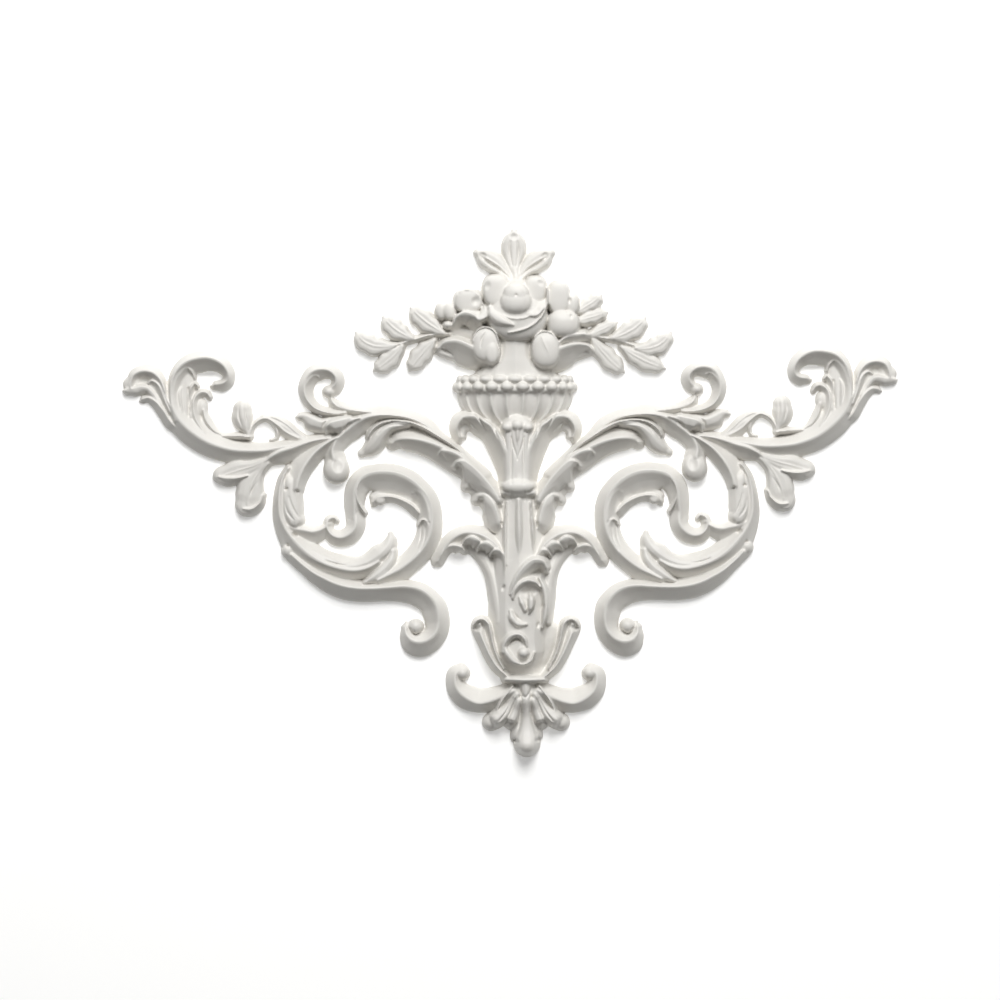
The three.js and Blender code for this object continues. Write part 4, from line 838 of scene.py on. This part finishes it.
def carve_ornament() -> ReliefField:
    """Carves the whole ornament from its groups of strokes."""
    relief = ReliefField()
    relief.add_strokes(Placement.AS_DRAWN, STEM)
    for placement in (Placement.AS_DRAWN, Placement.RIGHT_WING):
        for group in (BIG_SCROLL, INNER_SPIRAL, LOWER_VOLUTE, OUTER_ARM, UPPER_CURL, ARM_LEAVES,
                      MAIN_ARM, STEM_LEAF, HANDLE_LEAF):
            relief.add_strokes(placement, group)
    for placement in (Placement.AS_DRAWN, Placement.RIGHT_OF_FINIAL):
        relief.add_strokes(placement, CUP_PETAL)
        relief.add_strokes(placement, FINIAL_SIDE)
    relief.add_urn()
    relief.add_strokes(Placement.AS_DRAWN, SPRAYS)
    relief.add_strokes(Placement.AS_DRAWN, FLOWERS)
    relief.soften()
    log.info("carved field: %d x %d points, highest %.1f mm", *relief.heights.shape,
             relief.heights.max())
    return relief


@dataclass(frozen=True)
class CastFinish:
    """A cast foam resin primed warm white: colours as sRGB hex, sizes in millimetres."""

    name: str = "primed cast polyurethane resin"
    face: str = "E3E1DC"
    recess: str = "DCD9D3"
    roughness: float = 0.52
    mottle_size: float = 26.0
    grain_size: float = 0.9
    grain_depth: float = 0.035
    grain_strength: float = 0.35


@dataclass(frozen=True)
class StageFinish:
    """The plain pale surfaces round the ornament, and the even light: sizes in metres."""

    wall: str = "FBFBFA"
    wall_glow: float = 0.32
    wall_gap: float = 0.0008
    wall_size: float = 6.0
    floor: str = "F4F3F1"
    floor_glow: float = 0.1
    floor_level: float = -0.62
    floor_size: float = 12.0
    roughness: float = 0.9
    light_below: float = 0.02
    light_above: float = 0.34


def linear(colour: str) -> tuple:
    """An sRGB hex colour as linear red, green, blue and alpha."""
    parts = np.array([int(colour[k:k + 2], 16) for k in (0, 2, 4)]) / 255
    values = np.where(parts <= 0.04045, parts / 12.92, ((parts + 0.055) / 1.055) ** 2.4)
    return (*map(float, values), 1.0)


def add_node(tree: bpy.types.NodeTree, kind: str, inputs: dict | None = None,
             **settings) -> bpy.types.Node:
    """Adds a shader node.

    Args:
        tree: the material's node tree.
        kind: the node's type name.
        inputs: plain values, or sockets to link, by input name or number.
        **settings: the node's own settings.

    Returns:
        The new node.
    """
    node = tree.nodes.new(kind)
    for name, value in settings.items():
        setattr(node, name, value)
    for name, value in (inputs or {}).items():
        if isinstance(value, bpy.types.NodeSocket):
            tree.links.new(value, node.inputs[name])
        else:
            node.inputs[name].default_value = value
    return node


def cast_resin(finish: CastFinish) -> bpy.types.Material:
    """Cast polyurethane resin with a satin-matte primer: faint mottle and a fine cast grain."""
    material = bpy.data.materials.new(finish.name)
    material.use_nodes = True
    tree = material.node_tree
    shader = tree.nodes["Principled BSDF"]
    shader.inputs["Roughness"].default_value = finish.roughness
    shader.inputs["Base Color"].default_value = linear(finish.face)
    place = add_node(tree, "ShaderNodeTexCoord").outputs["Object"]
    mottle = add_node(tree, "ShaderNodeTexNoise", {"Vector": place, "Detail": 3.0,
                                                   "Scale": 1000 / finish.mottle_size})
    mixed = add_node(tree, "ShaderNodeMix", {0: mottle.outputs["Fac"], 6: linear(finish.face),
                                             7: linear(finish.recess)}, data_type="RGBA")
    tree.links.new(mixed.outputs[2], shader.inputs["Base Color"])
    grain = add_node(tree, "ShaderNodeTexNoise", {"Vector": place, "Detail": 2.0,
                                                  "Scale": 1000 / finish.grain_size})
    bump = add_node(tree, "ShaderNodeBump", {"Height": grain.outputs["Fac"],
                                             "Strength": finish.grain_strength,
                                             "Distance": finish.grain_depth / 1000})
    tree.links.new(bump.outputs["Normal"], shader.inputs["Normal"])
    return material


def plain_surface(name: str, colour: str, roughness: float, glow: float,
                  one_sided: bool) -> bpy.types.Material:
    """A pale matte studio surface.

    Args:
        name: the material's name.
        colour: its sRGB hex colour.
        roughness: how matte it is.
        glow: light it gives off itself, so that it stays pale behind the ornament.
        one_sided: whether it is clear when seen from behind.

    Returns:
        The new material.
    """
    material = bpy.data.materials.new(name)
    material.use_nodes = True
    tree = material.node_tree
    shader = tree.nodes["Principled BSDF"]
    shader.inputs["Base Color"].default_value = linear(colour)
    shader.inputs["Roughness"].default_value = roughness
    shader.inputs["Emission Color"].default_value = linear(colour)
    shader.inputs["Emission Strength"].default_value = glow
    if one_sided:
        behind = add_node(tree, "ShaderNodeNewGeometry").outputs["Backfacing"]
        clear = add_node(tree, "ShaderNodeBsdfTransparent")
        mix = add_node(tree, "ShaderNodeMixShader", {0: behind, 1: shader.outputs[0],
                                                     2: clear.outputs[0]})
        tree.links.new(mix.outputs[0], tree.nodes["Material Output"].inputs["Surface"])
    return material


class OrnamentBuilder:
    """Turns the carved field into one closed casting with a flat back."""

    def __init__(self, relief: ReliefField, finish: CastFinish) -> None:
        """Keeps what the casting is made from.

        Args:
            relief: the carved heights.
            finish: the colours and grain of its surface.
        """
        self.relief = relief
        self.finish = finish

    def build(self) -> bpy.types.Object:
        """Builds the casting, parents it under the root body and returns it."""
        vertices, faces = self._closed_shell(*self._cut_face())
        mesh = bpy.data.meshes.new("casting")
        mesh.from_pydata(vertices, [], faces)
        piece = bpy.data.objects.new("casting", mesh)
        bpy.context.scene.collection.objects.link(piece)
        self._thin_out(piece)
        piece.data.shade_smooth()
        piece.data.set_sharp_from_angle(angle=math.radians(SHARP_ANGLE))
        piece.data.materials.append(cast_resin(self.finish))
        log.info("casting: %d vertices, %d triangles", len(piece.data.vertices),
                 len(piece.data.polygons))
        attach(piece, "root")
        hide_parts("applique")
        return piece

    def _cut_face(self) -> tuple:
        """The carved face as triangles, cut off cleanly where it meets the wall plane."""
        heights = self.relief.heights
        rows, columns = heights.shape
        near = np.zeros((rows - 1, columns - 1), bool)
        for down in (0, 1):
            for right in (0, 1):
                near |= heights[down:rows - 1 + down, right:columns - 1 + right] > 0
        # the vertex number of a grid point is its row times the row's length plus its column
        corner = (np.arange(rows - 1)[:, None] * columns + np.arange(columns - 1))[near]
        quads = np.column_stack([corner, corner + columns, corner + columns + 1, corner + 1])
        used, quads = np.unique(quads, return_inverse=True)
        quads = quads.reshape(-1, 4)
        x = (self.relief.across[used % columns] - ORIGIN_X) / 1000
        z = (ORIGIN_Y - self.relief.down[used // columns]) / 1000
        points = np.column_stack([x, -heights.ravel()[used] / 1000, z])
        mesh = bpy.data.meshes.new("carved face")
        mesh.from_pydata(points, [], quads)
        shell = bmesh.new()
        shell.from_mesh(mesh)
        bpy.data.meshes.remove(mesh)
        whole = [*shell.verts, *shell.edges, *shell.faces]
        bmesh.ops.bisect_plane(shell, geom=whole, plane_co=(0, 0, 0), plane_no=(0, 1, 0),
                               dist=1e-7, clear_outer=True)
        bmesh.ops.triangulate(shell, faces=shell.faces[:])
        mesh = bpy.data.meshes.new("cut face")
        shell.to_mesh(mesh)
        shell.free()
        vertices = np.empty(3 * len(mesh.vertices))
        mesh.vertices.foreach_get("co", vertices)
        faces = np.empty(3 * len(mesh.polygons), int)
        mesh.polygons.foreach_get("vertices", faces)
        bpy.data.meshes.remove(mesh)
        return vertices.reshape(-1, 3), faces.reshape(-1, 3)

    @staticmethod
    def _closed_shell(vertices: np.ndarray, faces: np.ndarray) -> tuple:
        """Adds the flat back: the same faces pressed flat on the wall plane and turned over."""
        on_wall = np.abs(vertices[:, 1]) < 1e-6
        vertices[on_wall, 1] = 0.0
        partner = np.arange(len(vertices))
        partner[~on_wall] = len(vertices) + np.arange((~on_wall).sum())
        pressed = vertices[~on_wall] * (1, 0, 1)
        back = partner[faces][:, ::-1]
        return np.vstack([vertices, pressed]), np.vstack([faces, back])

    @staticmethod
    def _thin_out(piece: bpy.types.Object) -> None:
        """Merges triangles where the surface is flat, so that the piece stays light."""
        count = len(piece.data.polygons)
        thinning = piece.modifiers.new("thinning", "DECIMATE")
        thinning.ratio = min(1.0, MOST_TRIANGLES / count)
        evaluated = piece.evaluated_get(bpy.context.evaluated_depsgraph_get())
        thinned = bpy.data.meshes.new_from_object(evaluated)
        piece.modifiers.clear()
        old = piece.data
        piece.data = thinned
        bpy.data.meshes.remove(old)
        thinned.name = "casting"


class Studio:
    """The pale wall and floor, the soft lights and the camera of the photograph's view."""

    def __init__(self, finish: StageFinish) -> None:
        """Keeps the look of the stage.

        Args:
            finish: its colours, sizes and even light.
        """
        self.finish = finish

    def build(self) -> None:
        """Sets up the whole stage."""
        look = self.finish
        self._surface("studio wall", look.wall, (0, look.wall_gap, 0), (math.pi / 2, 0, 0),
                      look.wall_size, look.wall_glow, True)
        self._surface("studio floor", look.floor, (0, 0, look.floor_level), (0, 0, 0),
                      look.floor_size, look.floor_glow, False)
        self._world()
        self._lamp("key light", (-0.3, -1.2, 2.7), 1.2, 5.0)
        self._lamp("front light", (0.3, -2.8, 2.2), 1.6, 120.0)
        self._camera()

    def _surface(self, name: str, colour: str, at: tuple, turn: tuple, size: float, glow: float,
                 one_sided: bool) -> None:
        """A square stage surface."""
        mesh = bpy.data.meshes.new(name)
        half = size / 2
        mesh.from_pydata([(-half, -half, 0), (half, -half, 0), (half, half, 0), (-half, half, 0)], [],
                         [(0, 1, 2, 3)])
        mesh.materials.append(plain_surface(name, colour, self.finish.roughness, glow, one_sided))
        surface = bpy.data.objects.new(name, mesh)
        surface.location = at
        surface.rotation_euler = turn
        surface.visible_diffuse = one_sided
        bpy.context.scene.collection.objects.link(surface)

    def _world(self) -> None:
        """Even light from all round, weaker from below."""
        world = bpy.data.worlds.new("studio light")
        bpy.context.scene.world = world
        world.use_nodes = True
        tree = world.node_tree
        place = add_node(tree, "ShaderNodeTexCoord").outputs["Generated"]
        height = add_node(tree, "ShaderNodeSeparateXYZ", {"Vector": place}).outputs["Z"]
        level = add_node(tree, "ShaderNodeMapRange", {
            "Value": height, "From Min": -0.5, "From Max": 0.7,
            "To Min": self.finish.light_below, "To Max": self.finish.light_above}).outputs[0]
        sky = tree.nodes["Background"]
        sky.inputs["Color"].default_value = (1.0, 0.995, 0.985, 1)
        tree.links.new(level, sky.inputs["Strength"])

    def _lamp(self, name: str, at: tuple, size: float, power: float) -> None:
        """A soft square lamp turned towards the ornament."""
        light = bpy.data.lights.new(name, "AREA")
        light.size = size
        light.energy = power
        lamp = bpy.data.objects.new(name, light)
        lamp.location = at
        lamp.rotation_euler = (-Vector(at)).to_track_quat("-Z", "Y").to_euler()
        bpy.context.scene.collection.objects.link(lamp)

    def _camera(self) -> None:
        """A long lens straight in front, aimed where the photograph is centred."""
        data = bpy.data.cameras.new("camera")
        data.lens = LENS
        data.sensor_width = SENSOR
        distance = LENS / SENSOR * FRAME_WIDTH + MID_RELIEF / 1000
        camera = bpy.data.objects.new("camera", data)
        camera.location = ((AIM_X - ORIGIN_X) / 1000, -distance, (ORIGIN_Y - AIM_Y) / 1000)
        camera.rotation_euler = (math.pi / 2, 0, 0)
        bpy.context.scene.collection.objects.link(camera)
        bpy.context.scene.camera = camera


def main() -> None:
    """Builds the ornament and its stage."""
    logging.basicConfig(level=logging.INFO, format="%(name)s: %(message)s")
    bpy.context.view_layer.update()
    OrnamentBuilder(carve_ornament(), CastFinish()).build()
    Studio(StageFinish()).build()
    bpy.context.scene.view_settings.view_transform = "Standard"


if __name__ == "__main__":
    main()
